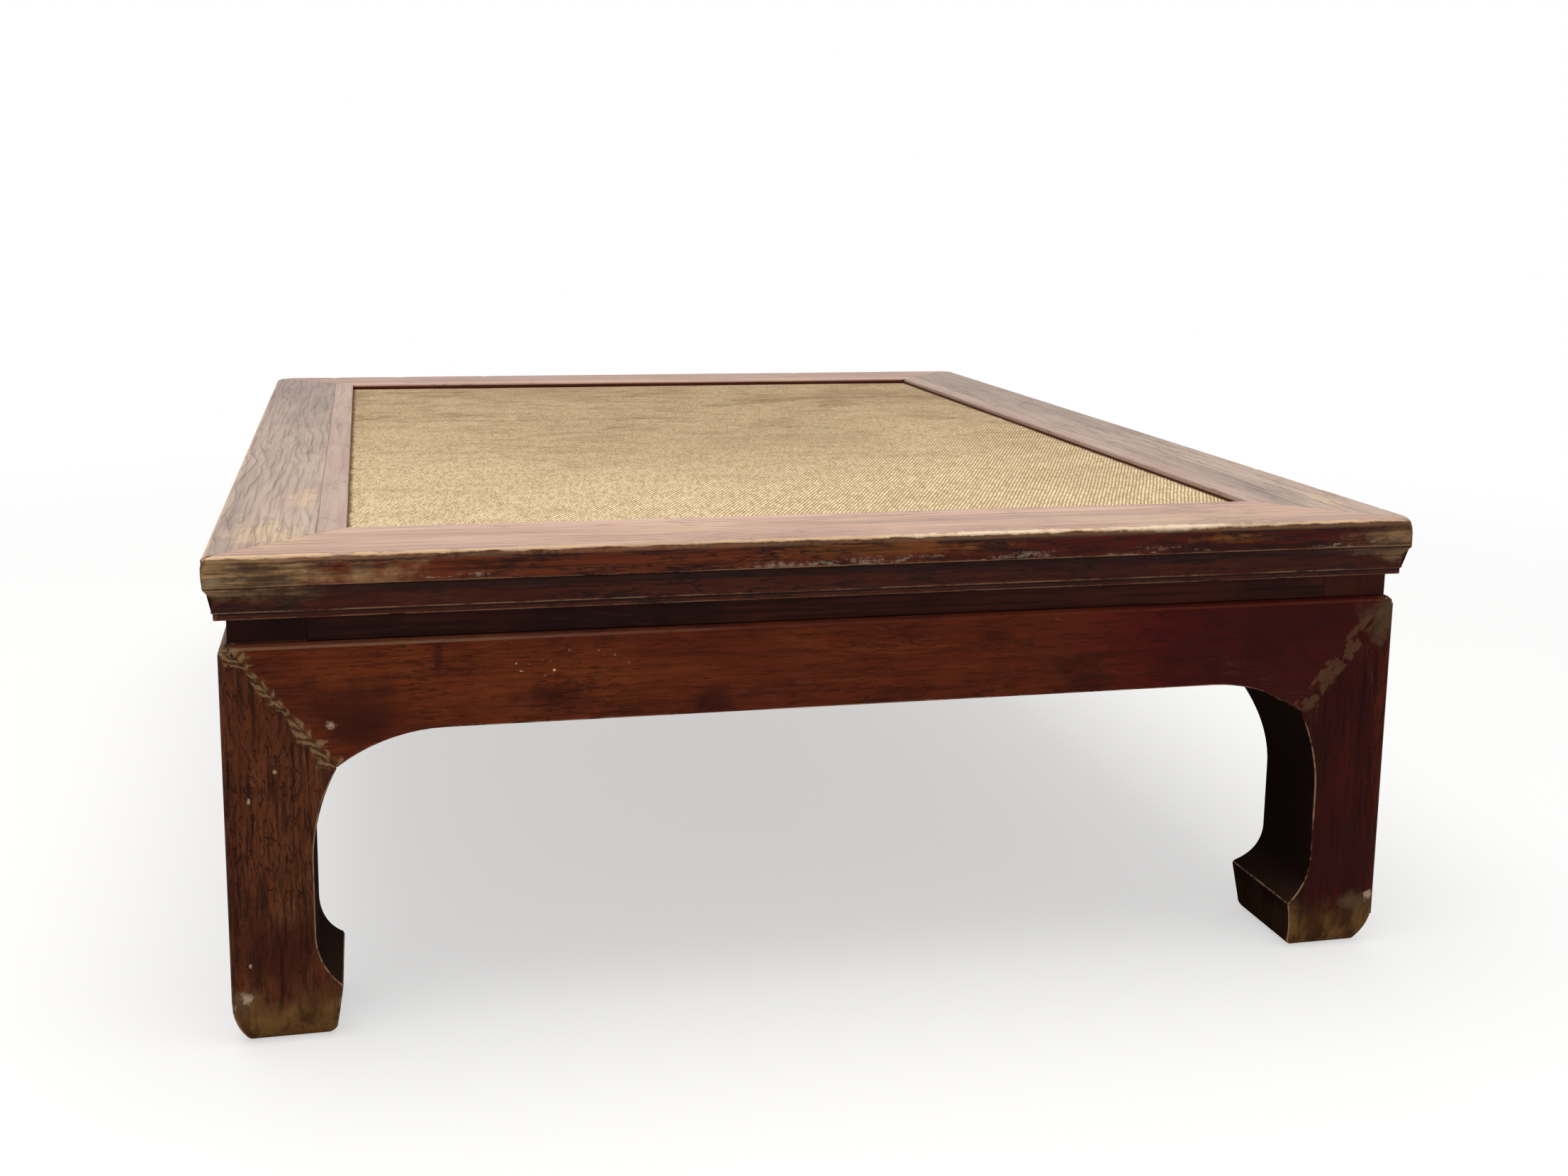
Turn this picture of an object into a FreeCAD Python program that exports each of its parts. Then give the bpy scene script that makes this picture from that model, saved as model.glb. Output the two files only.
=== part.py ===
import FreeCAD, Part
import math
import os

import Sketcher

# Low waisted table with a mitred top frame, an inset woven mat and four hoof-footed legs.
# Origin at the middle of the floor under the table, X across the short ends, Y along the long
# sides, Z up, millimetres. The front end is at -Y.

sizes = {
    "top_width": 860.0,  # short end, over the frame
    "top_length": 1090.0,  # long side, over the frame
    "table_height": 336.0,
    "frame_thick": 43.0,
    "frame_width": 90.0,  # rails and stiles, outer edge to panel opening
    "arris_round": 2.0,  # top outer edge of the frame
    "corner_round": 5.0,  # upright corners of the frame
    "band_height": 20.5,  # plain upper band of the moulded edge
    "band_bulge": 1.2,  # swell of that band's face
    "cove_height": 7.5,
    "cove_depth": 5.6,
    "fillet_height": 4.5,  # set-back strip under the lower band
    "fillet_depth": 3.0,
    "batten_width": 20.0,
    "batten_thick": 5.0,
    "batten_ease": 1.2,  # rounded inner edge of the battens
    "mat_thick": 2.5,
    "board_thick": 15.0,
    "groove_drop": 5.0,  # board face down to the tongue
    "groove_height": 5.0,
    "groove_depth": 8.0,
    "brace_width": 40.0,
    "brace_height": 18.0,
    "dovetail_neck": 20.0,
    "dovetail_flare": 3.0,  # widening on each side of the neck
    "dovetail_height": 6.0,
    "brace_tenon_length": 20.0,
    "brace_tenon_width": 28.0,
    "brace_tenon_thick": 11.0,
    "corner_tenon_start": 30.0,  # outer edge of the frame to the corner tenon
    "corner_tenon_thick": 12.0,
    "corner_tenon_drop": 16.0,  # top face down to the corner tenon
    "blind_wall": 14.0,  # wood left in front of a blind tenon
    "peg_diameter": 7.0,
    "peg_length": 27.0,
    "peg_set": 6.0,  # inner edge of the corner tenon to the middle of a peg
    "peg_across": 40.0,  # end of the table to the middle of a peg
    "waist_height": 17.5,
    "waist_thick": 12.0,
    "waist_ledge": 1.0,  # flat step between shoulder and waist
    "waist_tongue_thick": 6.0,
    "waist_tongue_depth": 5.0,
    "waist_tongue_end": 5.0,
    "leg_inset": 8.0,  # frame edge to the faces of legs and aprons
    "leg_width": 56.0,  # at the narrowest, seen from the short end
    "leg_depth": 75.0,  # at the narrowest, seen from the long side
    "leg_corner_round": 3.0,
    "shoulder_run": 5.0,  # rounded upper edge of legs and aprons
    "shoulder_fall": 6.5,
    "apron_thick": 22.0,
    "apron_height": 61.7,
    "cusp_drop": 85.0,  # shoulder down to the meeting point of leg and apron
    "apron_sweep": 71.0,  # length of the curve at the ends of the apron edge
    "front_flare": 16.8,  # widening of the leg up to the meeting point
    "side_flare": 27.0,
    "front_toe": 16.6,  # reach of the hoof past the narrow part of the leg
    "side_toe": 16.5,
    "toe_height": 38.0,
    "flare_share": 0.43,  # part of the free leg height taken by the upper curve
    "toe_share": 0.24,  # part of it taken by the hoof curve
    "toe_lean": 4.5,  # hoof tapering back under its tip
    "sole_ease": 8.0,
    "sole_tuck": 6.0,
    "sole_round": 32.0,  # rounded outer heel of the foot
    "sole_set": 10.0,
    "mitre_tongue_length": 12.0,
    "mitre_tongue_thick": 8.0,
    "leg_tenon_thick": 14.0,
    "leg_tenon_set": 6.0,  # outer post face to its tenon
    "leg_tenon_wall": 2.0,  # wood between a tenon and the groove for the waist
    "mitre_clear": 10.0,  # long and short tenons kept off the frame's mitre line
    "long_tenon_height": 22.0,
    "short_tenon_height": 10.0,
    "fit": 0.2,  # clearance round tenons, tongues and pegs
    "mat_clear": 0.5,  # mat edge to the wall of the rebate
    "saw_over": 4.0,  # how far a cut runs past the wood
}
board_count = 5
brace_count = 3
tongue_share = (0.45, 0.85)  # stretch of the mitre line that carries the tongue


class Size:
    # a length held both as a number and as the formula that drives the sketches

    def __init__(self, value, formula):
        self.value = float(value)
        self.formula = formula

    def __add__(self, other):
        other = as_size(other)
        return Size(self.value + other.value, "(%s + %s)" % (self.formula, other.formula))

    def __sub__(self, other):
        other = as_size(other)
        return Size(self.value - other.value, "(%s - %s)" % (self.formula, other.formula))

    def __mul__(self, other):
        other = as_size(other)
        return Size(self.value * other.value, "(%s * %s)" % (self.formula, other.formula))

    def __truediv__(self, other):
        other = as_size(other)
        return Size(self.value / other.value, "(%s / %s)" % (self.formula, other.formula))

    def __rsub__(self, other):
        return as_size(other) - self

    def __neg__(self):
        return as_size(0) - self

    __radd__ = __add__
    __rmul__ = __mul__


def as_size(item):
    return item if isinstance(item, Size) else Size(item, "%.6f" % item)


class Dims:
    # every driving size by name, bound to its cell
    def __init__(self, sheet):
        for row, (name, value) in enumerate(sizes.items(), start=1):
            sheet.set("A%d" % row, name.replace("_", " "))
            sheet.set("B%d" % row, str(value))
            sheet.setAlias("B%d" % row, name)
            setattr(self, name, Size(value, "%s.%s" % (sheet.Name, name)))


def sweep_radius(offset, length):
    # radius of an arc that leaves a straight edge smoothly and stands off by offset after length
    return (offset * offset + length * length) / (2 * offset)


doc = FreeCAD.newDocument("low_table")
d = Dims(doc.addObject("Spreadsheet::Sheet", "dims"))
doc.recompute()

half_width = d.top_width / 2
half_length = d.top_length / 2
top = d.table_height
under = top - d.frame_thick
shoulder = under - d.waist_height
cusp_level = shoulder - d.cusp_drop
apron_edge = shoulder - d.apron_height
mat_top = top - d.batten_thick
ledge = mat_top - d.mat_thick
board_under = ledge - d.board_thick
groove_top = ledge - d.groove_drop
groove_under = groove_top - d.groove_height
tongue_reach = d.groove_depth - 2 * d.fit
mitre_start = d.leg_inset + d.shoulder_run
waist_inset = mitre_start + d.waist_ledge
waist_tongue_in = waist_inset + (d.waist_thick - d.waist_tongue_thick) / 2
waist_tongue_out = waist_tongue_in + d.waist_tongue_thick
mitre_tongue_in = d.leg_inset + (d.apron_thick - d.mitre_tongue_thick) / 2
mitre_tongue_out = mitre_tongue_in + d.mitre_tongue_thick
corner_tenon_end = d.frame_width - d.groove_depth - d.saw_over
corner_tenon_top = top - d.corner_tenon_drop
corner_tenon_under = corner_tenon_top - d.corner_tenon_thick
brace_under = board_under - d.brace_height
brace_tenon_under = brace_under + (d.brace_height - d.brace_tenon_thick) / 2
brace_tenon_top = brace_tenon_under + d.brace_tenon_thick
leg_tenon_in = waist_inset + d.leg_tenon_set
leg_tenon_out = leg_tenon_in + d.leg_tenon_thick
leg_tenon_start = leg_tenon_out + d.mitre_clear


class Side:
    # one pair of sides: the plane of a cross section, the plane of the side's elevation, and the
    # leg as it is seen in that elevation
    def __init__(self, section, elevation, half_run, half_across, leg, flare, toe):
        self.section = section
        self.elevation = elevation
        self.half_run = half_run
        self.half_across = half_across
        self.leg_inner = d.leg_inset + leg
        self.flare = flare
        self.toe = toe
        self.cusp = self.leg_inner + flare
        self.mitre_slope = (self.cusp - mitre_start) / d.cusp_drop

    def mitre_point(self, share):
        # a point on the mitre between shoulder (0) and cusp (1), measured from the corner
        along = mitre_start + (self.cusp - mitre_start) * share
        return along, shoulder - d.cusp_drop * share

    def plan(self, along, across):
        return (along, across) if self.section == "YZ" else (across, along)


ends = Side("YZ", "XZ", half_width, half_length, d.leg_width, d.front_flare, d.front_toe)
flanks = Side("XZ", "YZ", half_length, half_width, d.leg_depth, d.side_flare, d.side_toe)


def draw(sketch, outline):
    # closed outline through corners (x, y); a corner (x, y, radius, turn) bends the side that
    # leaves it, with the centre on its left (turn 1) or on its right (turn -1)
    first = sketch.GeometryCount
    corners = [tuple(as_size(item) for item in corner[:3]) + tuple(corner[3:]) for corner in outline]
    shapes = []
    turns = []
    for here, after in zip(corners, corners[1:] + corners[:1]):
        start = FreeCAD.Vector(here[0].value, here[1].value, 0)
        end = FreeCAD.Vector(after[0].value, after[1].value, 0)
        turns.append(here[3] if len(here) > 2 else 0)
        if turns[-1]:
            shapes.append(bent_side(start, end, here[2].value, turns[-1]))
        else:
            shapes.append(Part.LineSegment(start, end))
    sketch.addGeometry(shapes, False)
    rules = []
    for index, corner in enumerate(corners):
        side = first + index
        follower = first + (index + 1) % len(corners)
        begins = 2 if turns[index] < 0 else 1
        next_begins = 2 if turns[(index + 1) % len(corners)] < 0 else 1
        rules.append((Sketcher.Constraint("Coincident", side, 3 - begins, follower, next_begins), None))
        for kind, place in zip(("DistanceX", "DistanceY"), corner):
            rules.append((Sketcher.Constraint(kind, -1, 1, side, begins, place.value), place.formula))
        if turns[index]:
            rules.append((Sketcher.Constraint("Radius", side, corner[2].value), corner[2].formula))
    bind(sketch, rules)


def bent_side(start, end, radius, turn):
    chord = end - start
    left = FreeCAD.Vector(-chord.y, chord.x, 0).normalize()
    stand = math.sqrt(radius * radius - chord.Length * chord.Length / 4)
    centre = (start + end) / 2 + left * (turn * stand)
    first, last = (start, end) if turn > 0 else (end, start)
    angles = [math.atan2(point.y - centre.y, point.x - centre.x) for point in (first, last)]
    return Part.ArcOfCircle(Part.Circle(centre, FreeCAD.Vector(0, 0, 1), radius), *angles)


def draw_circle(sketch, x, y, radius):
    centre = FreeCAD.Vector(x.value, y.value, 0)
    ring = sketch.addGeometry(Part.Circle(centre, FreeCAD.Vector(0, 0, 1), radius.value), False)
    bind(sketch, [
        (Sketcher.Constraint("DistanceX", -1, 1, ring, 3, x.value), x.formula),
        (Sketcher.Constraint("DistanceY", -1, 1, ring, 3, y.value), y.formula),
        (Sketcher.Constraint("Radius", ring, radius.value), radius.formula),
    ])


def bind(sketch, rules):
    first = sketch.ConstraintCount
    sketch.addConstraint([rule for rule, formula in rules])
    for offset, (rule, formula) in enumerate(rules):
        if formula:
            sketch.setExpression("Constraints[%d]" % (first + offset), formula)


def open_sketch(body, plane, level):
    facing = -1 if plane == "XZ" else 1
    sketch = body.newObject("Sketcher::SketchObject", "Outline")
    support = [item for item in body.Origin.OriginFeatures if item.Role == plane + "_Plane"]
    sketch.AttachmentSupport = (support[0], [""])
    sketch.MapMode = "FlatFace"
    sketch.setExpression("AttachmentOffset.Base.z", (level * facing).formula)
    return sketch


def slab(body, kind, plane, low, high, *outlines):
    # adds (Pad) or removes (Pocket) the outlines between two levels square to the plane
    sketch = open_sketch(body, plane, (low + high) / 2)
    for outline in outlines:
        draw(sketch, outline)
    feature = body.newObject("PartDesign::" + kind, kind)
    feature.Profile = sketch
    feature.Midplane = True
    feature.setExpression("Length", (high - low).formula)


def bore(body, low, high, places, radius):
    # round upright holes
    sketch = open_sketch(body, "XY", (low + high) / 2)
    for x, y in places:
        draw_circle(sketch, x, y, radius)
    feature = body.newObject("PartDesign::Pocket", "Bore")
    feature.Profile = sketch
    feature.Midplane = True
    feature.setExpression("Length", (high - low).formula)


def rectangle(left, right, low, high):
    return [(left, low), (right, low), (right, high), (left, high)]


def new_body(name, half_turn=False):
    # the front or left piece lies where it is drawn; its opposite is turned half round the middle
    body = doc.addObject("PartDesign::Body", name)
    body.Label = name
    turn = FreeCAD.Rotation(FreeCAD.Vector(0, 0, 1), 180 if half_turn else 0)
    body.Placement = FreeCAD.Placement(FreeCAD.Vector(0, 0, 0), turn)
    return body


def both_ends(outline):
    # an outline near one end of a member and its mirror image at the other end
    return outline, [(-corner[0],) + tuple(corner[1:]) for corner in outline]


def frame_section(outer):
    def at(inset, level, *bend):
        return (outer + inset, level) + bend

    cove_top = top - d.band_height
    strip_top = under + d.fillet_height
    strip_face = d.cove_depth + d.fillet_depth
    groove_back = d.frame_width - d.groove_depth
    rebate_wall = d.frame_width - d.batten_width
    face = d.band_bulge
    swell = sweep_radius(d.band_bulge, (d.band_height - d.arris_round) / 2)
    return [
        at(face + d.arris_round, top, d.arris_round, 1),
        at(face, top - d.arris_round, swell, 1),
        at(face, cove_top, sweep_radius(d.cove_depth - face, d.cove_height), -1),
        at(d.cove_depth, cove_top - d.cove_height),
        at(d.cove_depth, strip_top),
        at(strip_face, strip_top),
        at(strip_face, under),
        at(d.frame_width, under),
        at(d.frame_width, groove_under),
        at(groove_back, groove_under),
        at(groove_back, groove_top),
        at(d.frame_width, groove_top),
        at(d.frame_width, ledge),
        at(rebate_wall, ledge),
        at(rebate_wall, top),
    ]


def mitre_waste(side, near, far):
    # plan triangle beyond the 45 degree line at one corner of a frame member
    def at(along, across):
        return side.plan(along - side.half_run, across - side.half_across)

    return [at(near, near), at(far, far), at(near, far)]


def mirrored_plan(side, outline):
    # the same plan outline at the far end of the member
    if side.section == "YZ":
        return [(-x, y) for x, y in outline]
    return [(x, -y) for x, y in outline]


def frame_member(side, name, half_turn):
    body = new_body(name, half_turn)
    slab(body, "Pad", side.section, -side.half_run, side.half_run, frame_section(-side.half_across))
    waste = mitre_waste(side, -d.saw_over, d.frame_width + d.saw_over)
    slab(body, "Pocket", "XY", under - d.saw_over, top + d.saw_over, waste, mirrored_plan(side, waste))
    return body


def corner_tenon(grow):
    # plan outline of the tenon between stile and rail at the front left corner
    left = d.corner_tenon_start - grow - half_width
    right = corner_tenon_end + grow - half_width
    low = d.blind_wall - grow - half_length
    root = d.saw_over - half_length
    return [(left, low), (right, low), (right, corner_tenon_end + root), (left, d.corner_tenon_start + root)]


def corner_waste(hand_x, hand_y):
    # what is taken off an upright corner of the top to round it
    reach = d.corner_round
    over = -d.saw_over

    def at(x, y, *bend):
        return (hand_x * (x - half_width), hand_y * (y - half_length)) + bend

    return [at(over, over), at(reach, over), at(reach, 0, reach, -hand_x * hand_y),
            at(0, reach), at(over, reach)]


def leg_tenon_plan(long_one, grow, hand_x, hand_y):
    # plan outline of a leg tenon: the long one stands in the stile, the short one in the rail
    low = leg_tenon_in - grow
    high = leg_tenon_out + grow
    start = leg_tenon_start - grow
    wall = d.waist_tongue_end + d.leg_tenon_wall - grow
    if long_one:
        corners = rectangle(low, high, start, flanks.leg_inner - wall)
    else:
        corners = rectangle(start, ends.leg_inner - wall, low, high)
    return [(hand_x * (x - half_width), hand_y * (y - half_length)) for x, y in corners]


def peg_places():
    x = corner_tenon_end - d.peg_set - half_width
    y = d.peg_across - half_length
    return [(x, y), (-x, y), (-x, -y), (x, -y)]


def end_rail(name, half_turn):
    # short frame member: mitred, mortised for the stiles, the short leg tenons and the pegs
    body = frame_member(ends, name, half_turn)
    mortise = corner_tenon(d.fit)
    slab(body, "Pocket", "XY", corner_tenon_under - d.fit, corner_tenon_top + d.fit,
         mortise, mirrored_plan(ends, mortise))
    slab(body, "Pocket", "XY", under - d.saw_over, under + d.short_tenon_height + d.fit,
         leg_tenon_plan(False, d.fit, 1, 1), leg_tenon_plan(False, d.fit, -1, 1))
    bore(body, under - d.saw_over, under + d.peg_length + d.fit, peg_places()[:2], d.peg_diameter / 2 + d.fit)
    slab(body, "Pocket", "XY", under - d.saw_over, top + d.saw_over, corner_waste(1, 1), corner_waste(-1, 1))
    return body


def brace_places():
    spacing = (half_length - d.frame_width) * 2 / (brace_count + 1)
    return [(index - (brace_count - 1) / 2) * spacing for index in range(brace_count)]


def side_stile(name, half_turn):
    # long frame member: mitred, with a tenon at each end, mortised for the legs and the braces
    body = frame_member(flanks, name, half_turn)
    tenon = corner_tenon(as_size(0))
    slab(body, "Pad", "XY", corner_tenon_under, corner_tenon_top, tenon, mirrored_plan(flanks, tenon))
    slab(body, "Pocket", "XY", under - d.saw_over, under + d.long_tenon_height + d.fit,
         leg_tenon_plan(True, d.fit, 1, 1), leg_tenon_plan(True, d.fit, 1, -1))
    places = [peg_places()[0], peg_places()[3]]
    bore(body, under - d.saw_over, under + d.peg_length + d.fit, places, d.peg_diameter / 2 + d.fit)
    inner_face = d.frame_width - half_width
    half_mortise = d.brace_tenon_width / 2 + d.fit
    slots = [rectangle(inner_face - d.brace_tenon_length - d.fit, inner_face + d.saw_over,
                       place - half_mortise, place + half_mortise) for place in brace_places()]
    slab(body, "Pocket", "XY", brace_tenon_under - d.fit, brace_tenon_top + d.fit, *slots)
    slab(body, "Pocket", "XY", under - d.saw_over, top + d.saw_over, corner_waste(1, 1), corner_waste(1, -1))
    return body


def mat_batten(side, name, half_turn):
    # flat strip over the edge of the mat, flush with the frame, its inner edge eased
    body = new_body(name, half_turn)
    outer = d.frame_width - d.batten_width - side.half_across
    inner = d.frame_width - side.half_across
    half_run = side.half_run - d.frame_width + d.batten_width
    section = [(outer, top), (outer, mat_top), (inner, mat_top),
               (inner, top - d.batten_ease, d.batten_ease, 1), (inner - d.batten_ease, top)]
    slab(body, "Pad", side.section, -half_run, half_run, section)
    near = d.frame_width - d.batten_width - d.saw_over
    waste = mitre_waste(side, near, d.frame_width + d.saw_over)
    slab(body, "Pocket", "XY", mat_top - d.saw_over, top + d.saw_over, waste, mirrored_plan(side, waste))
    return body


def woven_mat(name):
    # sheet of woven cane lying on the boards, its edges under the battens
    mat = doc.addObject("Part::Box", name)
    mat.Label = name
    half_x = half_width - d.frame_width + d.batten_width - d.mat_clear
    half_y = half_length - d.frame_width + d.batten_width - d.mat_clear
    mat.setExpression("Length", (half_x * 2).formula)
    mat.setExpression("Width", (half_y * 2).formula)
    mat.setExpression("Height", d.mat_thick.formula)
    mat.setExpression("Placement.Base.x", (-half_x).formula)
    mat.setExpression("Placement.Base.y", (-half_y).formula)
    mat.setExpression("Placement.Base.z", ledge.formula)
    return mat


def dovetail(place, root, grow):
    # cross section of the sliding dovetail along a brace, standing up from the level root
    neck = d.dovetail_neck / 2 + grow
    wide = neck + d.dovetail_flare
    crest = board_under + d.dovetail_height + grow
    return [(place - neck, root), (place + neck, root), (place + wide, crest), (place - wide, crest)]


def panel_board(index):
    # one of the boards under the mat: tongued at both ends and on the right, grooved on the left
    body = new_body("panel_board_%d" % (index + 1))
    opening = half_width - d.frame_width
    pitch = opening * 2 / board_count
    left = pitch * index - opening + d.fit
    right = pitch * (index + 1) - opening - d.fit
    half_run = half_length - d.frame_width - d.fit
    slab(body, "Pad", "XY", board_under, ledge, rectangle(left, right, -half_run, half_run))
    if index:
        groove_run = half_run + d.saw_over
        groove = rectangle(left - d.saw_over, left + d.groove_depth, -groove_run, groove_run)
        slab(body, "Pocket", "XY", groove_under, groove_top, groove)
        tongue_left = left + d.groove_depth
    else:
        tongue_left = left - tongue_reach
    tongue_run = half_run + tongue_reach
    tongue = rectangle(tongue_left, right + tongue_reach, -tongue_run, tongue_run)
    slab(body, "Pad", "XY", groove_under + d.fit, groove_top - d.fit, tongue)
    slots = [dovetail(place, board_under, d.fit) for place in brace_places()]
    slot_over = d.groove_depth + d.saw_over
    slab(body, "Pocket", "YZ", left - slot_over, right + slot_over, *slots)
    return body


def cross_brace(index):
    # bar under the boards, with a dovetail along its top and a tenon into each stile
    body = new_body("cross_brace_%d" % (index + 1))
    place = brace_places()[index]
    half_run = half_width - d.frame_width - d.fit
    half_bar = d.brace_width / 2
    slab(body, "Pad", "YZ", -half_run, half_run,
         rectangle(place - half_bar, place + half_bar, brace_under, board_under))
    slab(body, "Pad", "YZ", -half_run, half_run, dovetail(place, board_under, as_size(0)))
    half_tenon = d.brace_tenon_width / 2
    tenon_run = half_run + d.brace_tenon_length
    slab(body, "Pad", "YZ", -tenon_run, tenon_run,
         rectangle(place - half_tenon, place + half_tenon, brace_tenon_under, brace_tenon_top))
    return body


def waist(side, name, half_turn):
    # set-back strip between frame and apron, tongued into the apron and into the leg posts
    body = new_body(name, half_turn)
    half_run = side.half_run - side.leg_inner
    front = waist_inset - side.half_across
    slab(body, "Pad", side.section, -half_run, half_run,
         rectangle(front, front + d.waist_thick, shoulder, under))
    tongue_run = half_run + d.waist_tongue_end
    slab(body, "Pad", side.section, -tongue_run, tongue_run,
         rectangle(waist_tongue_in - side.half_across, waist_tongue_out - side.half_across,
                   shoulder - d.waist_tongue_depth, under))
    return body


def apron_section(outer):
    def at(inset, level, *bend):
        return (outer + inset, level) + bend

    back = d.leg_inset + d.apron_thick
    blank = cusp_level - d.saw_over
    groove_floor = shoulder - d.waist_tongue_depth - d.fit
    return [
        at(mitre_start, shoulder, sweep_radius(d.shoulder_run, d.shoulder_fall), 1),
        at(d.leg_inset, shoulder - d.shoulder_fall),
        at(d.leg_inset, blank),
        at(back, blank),
        at(back, shoulder),
        at(waist_tongue_out + d.fit, shoulder),
        at(waist_tongue_out + d.fit, groove_floor),
        at(waist_tongue_in - d.fit, groove_floor),
        at(waist_tongue_in - d.fit, shoulder),
    ]


def apron_waste(side):
    # everything sawn away below the apron's curved edge and beyond its two mitres
    run = side.half_run
    over = d.saw_over
    mitre_over = mitre_start - side.mitre_slope * over
    outside = mitre_start - (side.mitre_slope + 2) * over
    bend = sweep_radius(d.cusp_drop - d.apron_height, d.apron_sweep)
    straight = side.cusp + d.apron_sweep
    blank = cusp_level - 2 * over
    return [
        (mitre_over - run, shoulder + over),
        (side.cusp - run, cusp_level, bend, -1),
        (straight - run, apron_edge),
        (run - straight, apron_edge, bend, -1),
        (run - side.cusp, cusp_level),
        (run - mitre_over, shoulder + over),
        (run - outside, shoulder + over),
        (run - outside, blank),
        (outside - run, blank),
        (outside - run, shoulder + over),
    ]


def mitre_tongue(side, grow):
    # slanting tongue that the apron pushes past its mitre into the leg
    upper, lower = (side.mitre_point(share) for share in tongue_share)
    reach = d.mitre_tongue_length + grow * (side.mitre_slope + 1)
    corners = [
        (upper[0] + d.saw_over, upper[1] + grow),
        (upper[0] - reach, upper[1] + grow),
        (lower[0] - reach, lower[1] - grow),
        (lower[0] + d.saw_over, lower[1] - grow),
    ]
    return [(along - side.half_run, level) for along, level in corners]


def apron(side, name, half_turn):
    # rail under the waist: shouldered section, sawn lower edge, ends mitred on the face, bevelled
    # to meet the next apron behind the leg's corner, and tongued
    body = new_body(name, half_turn)
    half_blank = side.half_run - mitre_start + d.saw_over
    outer = -side.half_across
    slab(body, "Pad", side.section, -half_blank, half_blank, apron_section(outer))
    front = outer + d.leg_inset - d.saw_over
    back = outer + d.leg_inset + d.apron_thick + d.saw_over
    slab(body, "Pocket", side.elevation, front, back, apron_waste(side))
    bevel = mitre_waste(side, as_size(0), d.leg_inset + d.apron_thick + d.saw_over)
    slab(body, "Pocket", "XY", cusp_level - d.saw_over, shoulder + d.saw_over,
         bevel, mirrored_plan(side, bevel))
    slab(body, "Pad", side.elevation, outer + mitre_tongue_in, outer + mitre_tongue_out,
         *both_ends(mitre_tongue(side, as_size(0))))
    return body


def leg_profile(side, place, turn):
    # outline of a leg in one elevation, from the heel up the outer face and down the inner edge
    inner = side.leg_inner
    toe = inner + side.toe
    free = cusp_level - d.toe_height
    flare_length = free * d.flare_share
    hoof_length = free * d.toe_share
    mitre_share = (inner - mitre_start) / (side.cusp - mitre_start)
    return [
        place(d.leg_inset + d.sole_set, 0) + (sweep_radius(d.sole_set, d.sole_round), -turn),
        place(d.leg_inset, d.sole_round),
        place(d.leg_inset, shoulder - d.shoulder_fall)
        + (sweep_radius(d.shoulder_run, d.shoulder_fall), -turn),
        place(mitre_start, shoulder),
        place(waist_inset, shoulder),
        place(waist_inset, under),
        place(inner, under),
        place(*side.mitre_point(mitre_share)),
        place(side.cusp, cusp_level) + (sweep_radius(side.flare, flare_length), turn),
        place(inner, cusp_level - flare_length),
        place(inner, d.toe_height + hoof_length) + (sweep_radius(side.toe, hoof_length), turn),
        place(toe, d.toe_height),
        place(toe - d.toe_lean, d.sole_ease) + (sweep_radius(d.sole_tuck, d.sole_ease), -turn),
        place(toe - d.toe_lean - d.sole_tuck, 0),
    ]


def apron_seat(side, place):
    # the step in a leg that takes the end of an apron, above the mitre line
    inner, level = side.mitre_point((side.leg_inner - mitre_start) / (side.cusp - mitre_start))
    return [place(mitre_start, shoulder), place(inner, level), place(inner + d.saw_over, level),
            place(inner + d.saw_over, shoulder)]


def hoof_leg(name, hand, half_turn):
    # leg sawn to shape from two faces, hand 1 for the left of the front, -1 for its right
    body = new_body(name, half_turn)

    def across(u, level):
        return hand * (u - half_width), as_size(level)

    def along(v, level):
        return v - half_length, as_size(level)

    def sideways(low, high):
        # levels square to the long side, in rising order
        left = hand * (low - half_width)
        right = hand * (high - half_width)
        return (left, right) if hand > 0 else (right, left)

    over = d.saw_over
    blank = flanks.leg_inner + d.side_flare + d.side_toe
    slab(body, "Pad", "XZ", d.leg_inset - over - half_length, blank - half_length,
         leg_profile(ends, across, hand))
    wide = ends.leg_inner + d.front_flare + d.front_toe
    around = rectangle(d.leg_inset - 2 * over - half_length, blank + over - half_length,
                       -over, under + over)
    slab(body, "Pocket", "YZ", *sideways(d.leg_inset - over, wide), around, leg_profile(flanks, along, 1))

    seat_back = d.leg_inset + d.apron_thick
    slab(body, "Pocket", "XZ", d.leg_inset - over - half_length, seat_back - half_length,
         apron_seat(ends, across))
    slab(body, "Pocket", "YZ", *sideways(d.leg_inset - over, seat_back), apron_seat(flanks, along))
    tongue_end = [(hand * x, z) for x, z in mitre_tongue(ends, d.fit)]
    slab(body, "Pocket", "XZ", mitre_tongue_in - d.fit - half_length,
         mitre_tongue_out + d.fit - half_length, tongue_end)
    slab(body, "Pocket", "YZ", *sideways(mitre_tongue_in - d.fit, mitre_tongue_out + d.fit),
         mitre_tongue(flanks, d.fit))
    waist_slots(body, across, along, sideways)
    round_leg_corner(body, hand)
    slab(body, "Pad", "XY", under - over, under + d.long_tenon_height,
         leg_tenon_plan(True, as_size(0), hand, 1))
    slab(body, "Pad", "XY", under - over, under + d.short_tenon_height,
         leg_tenon_plan(False, as_size(0), hand, 1))
    return body


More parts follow.
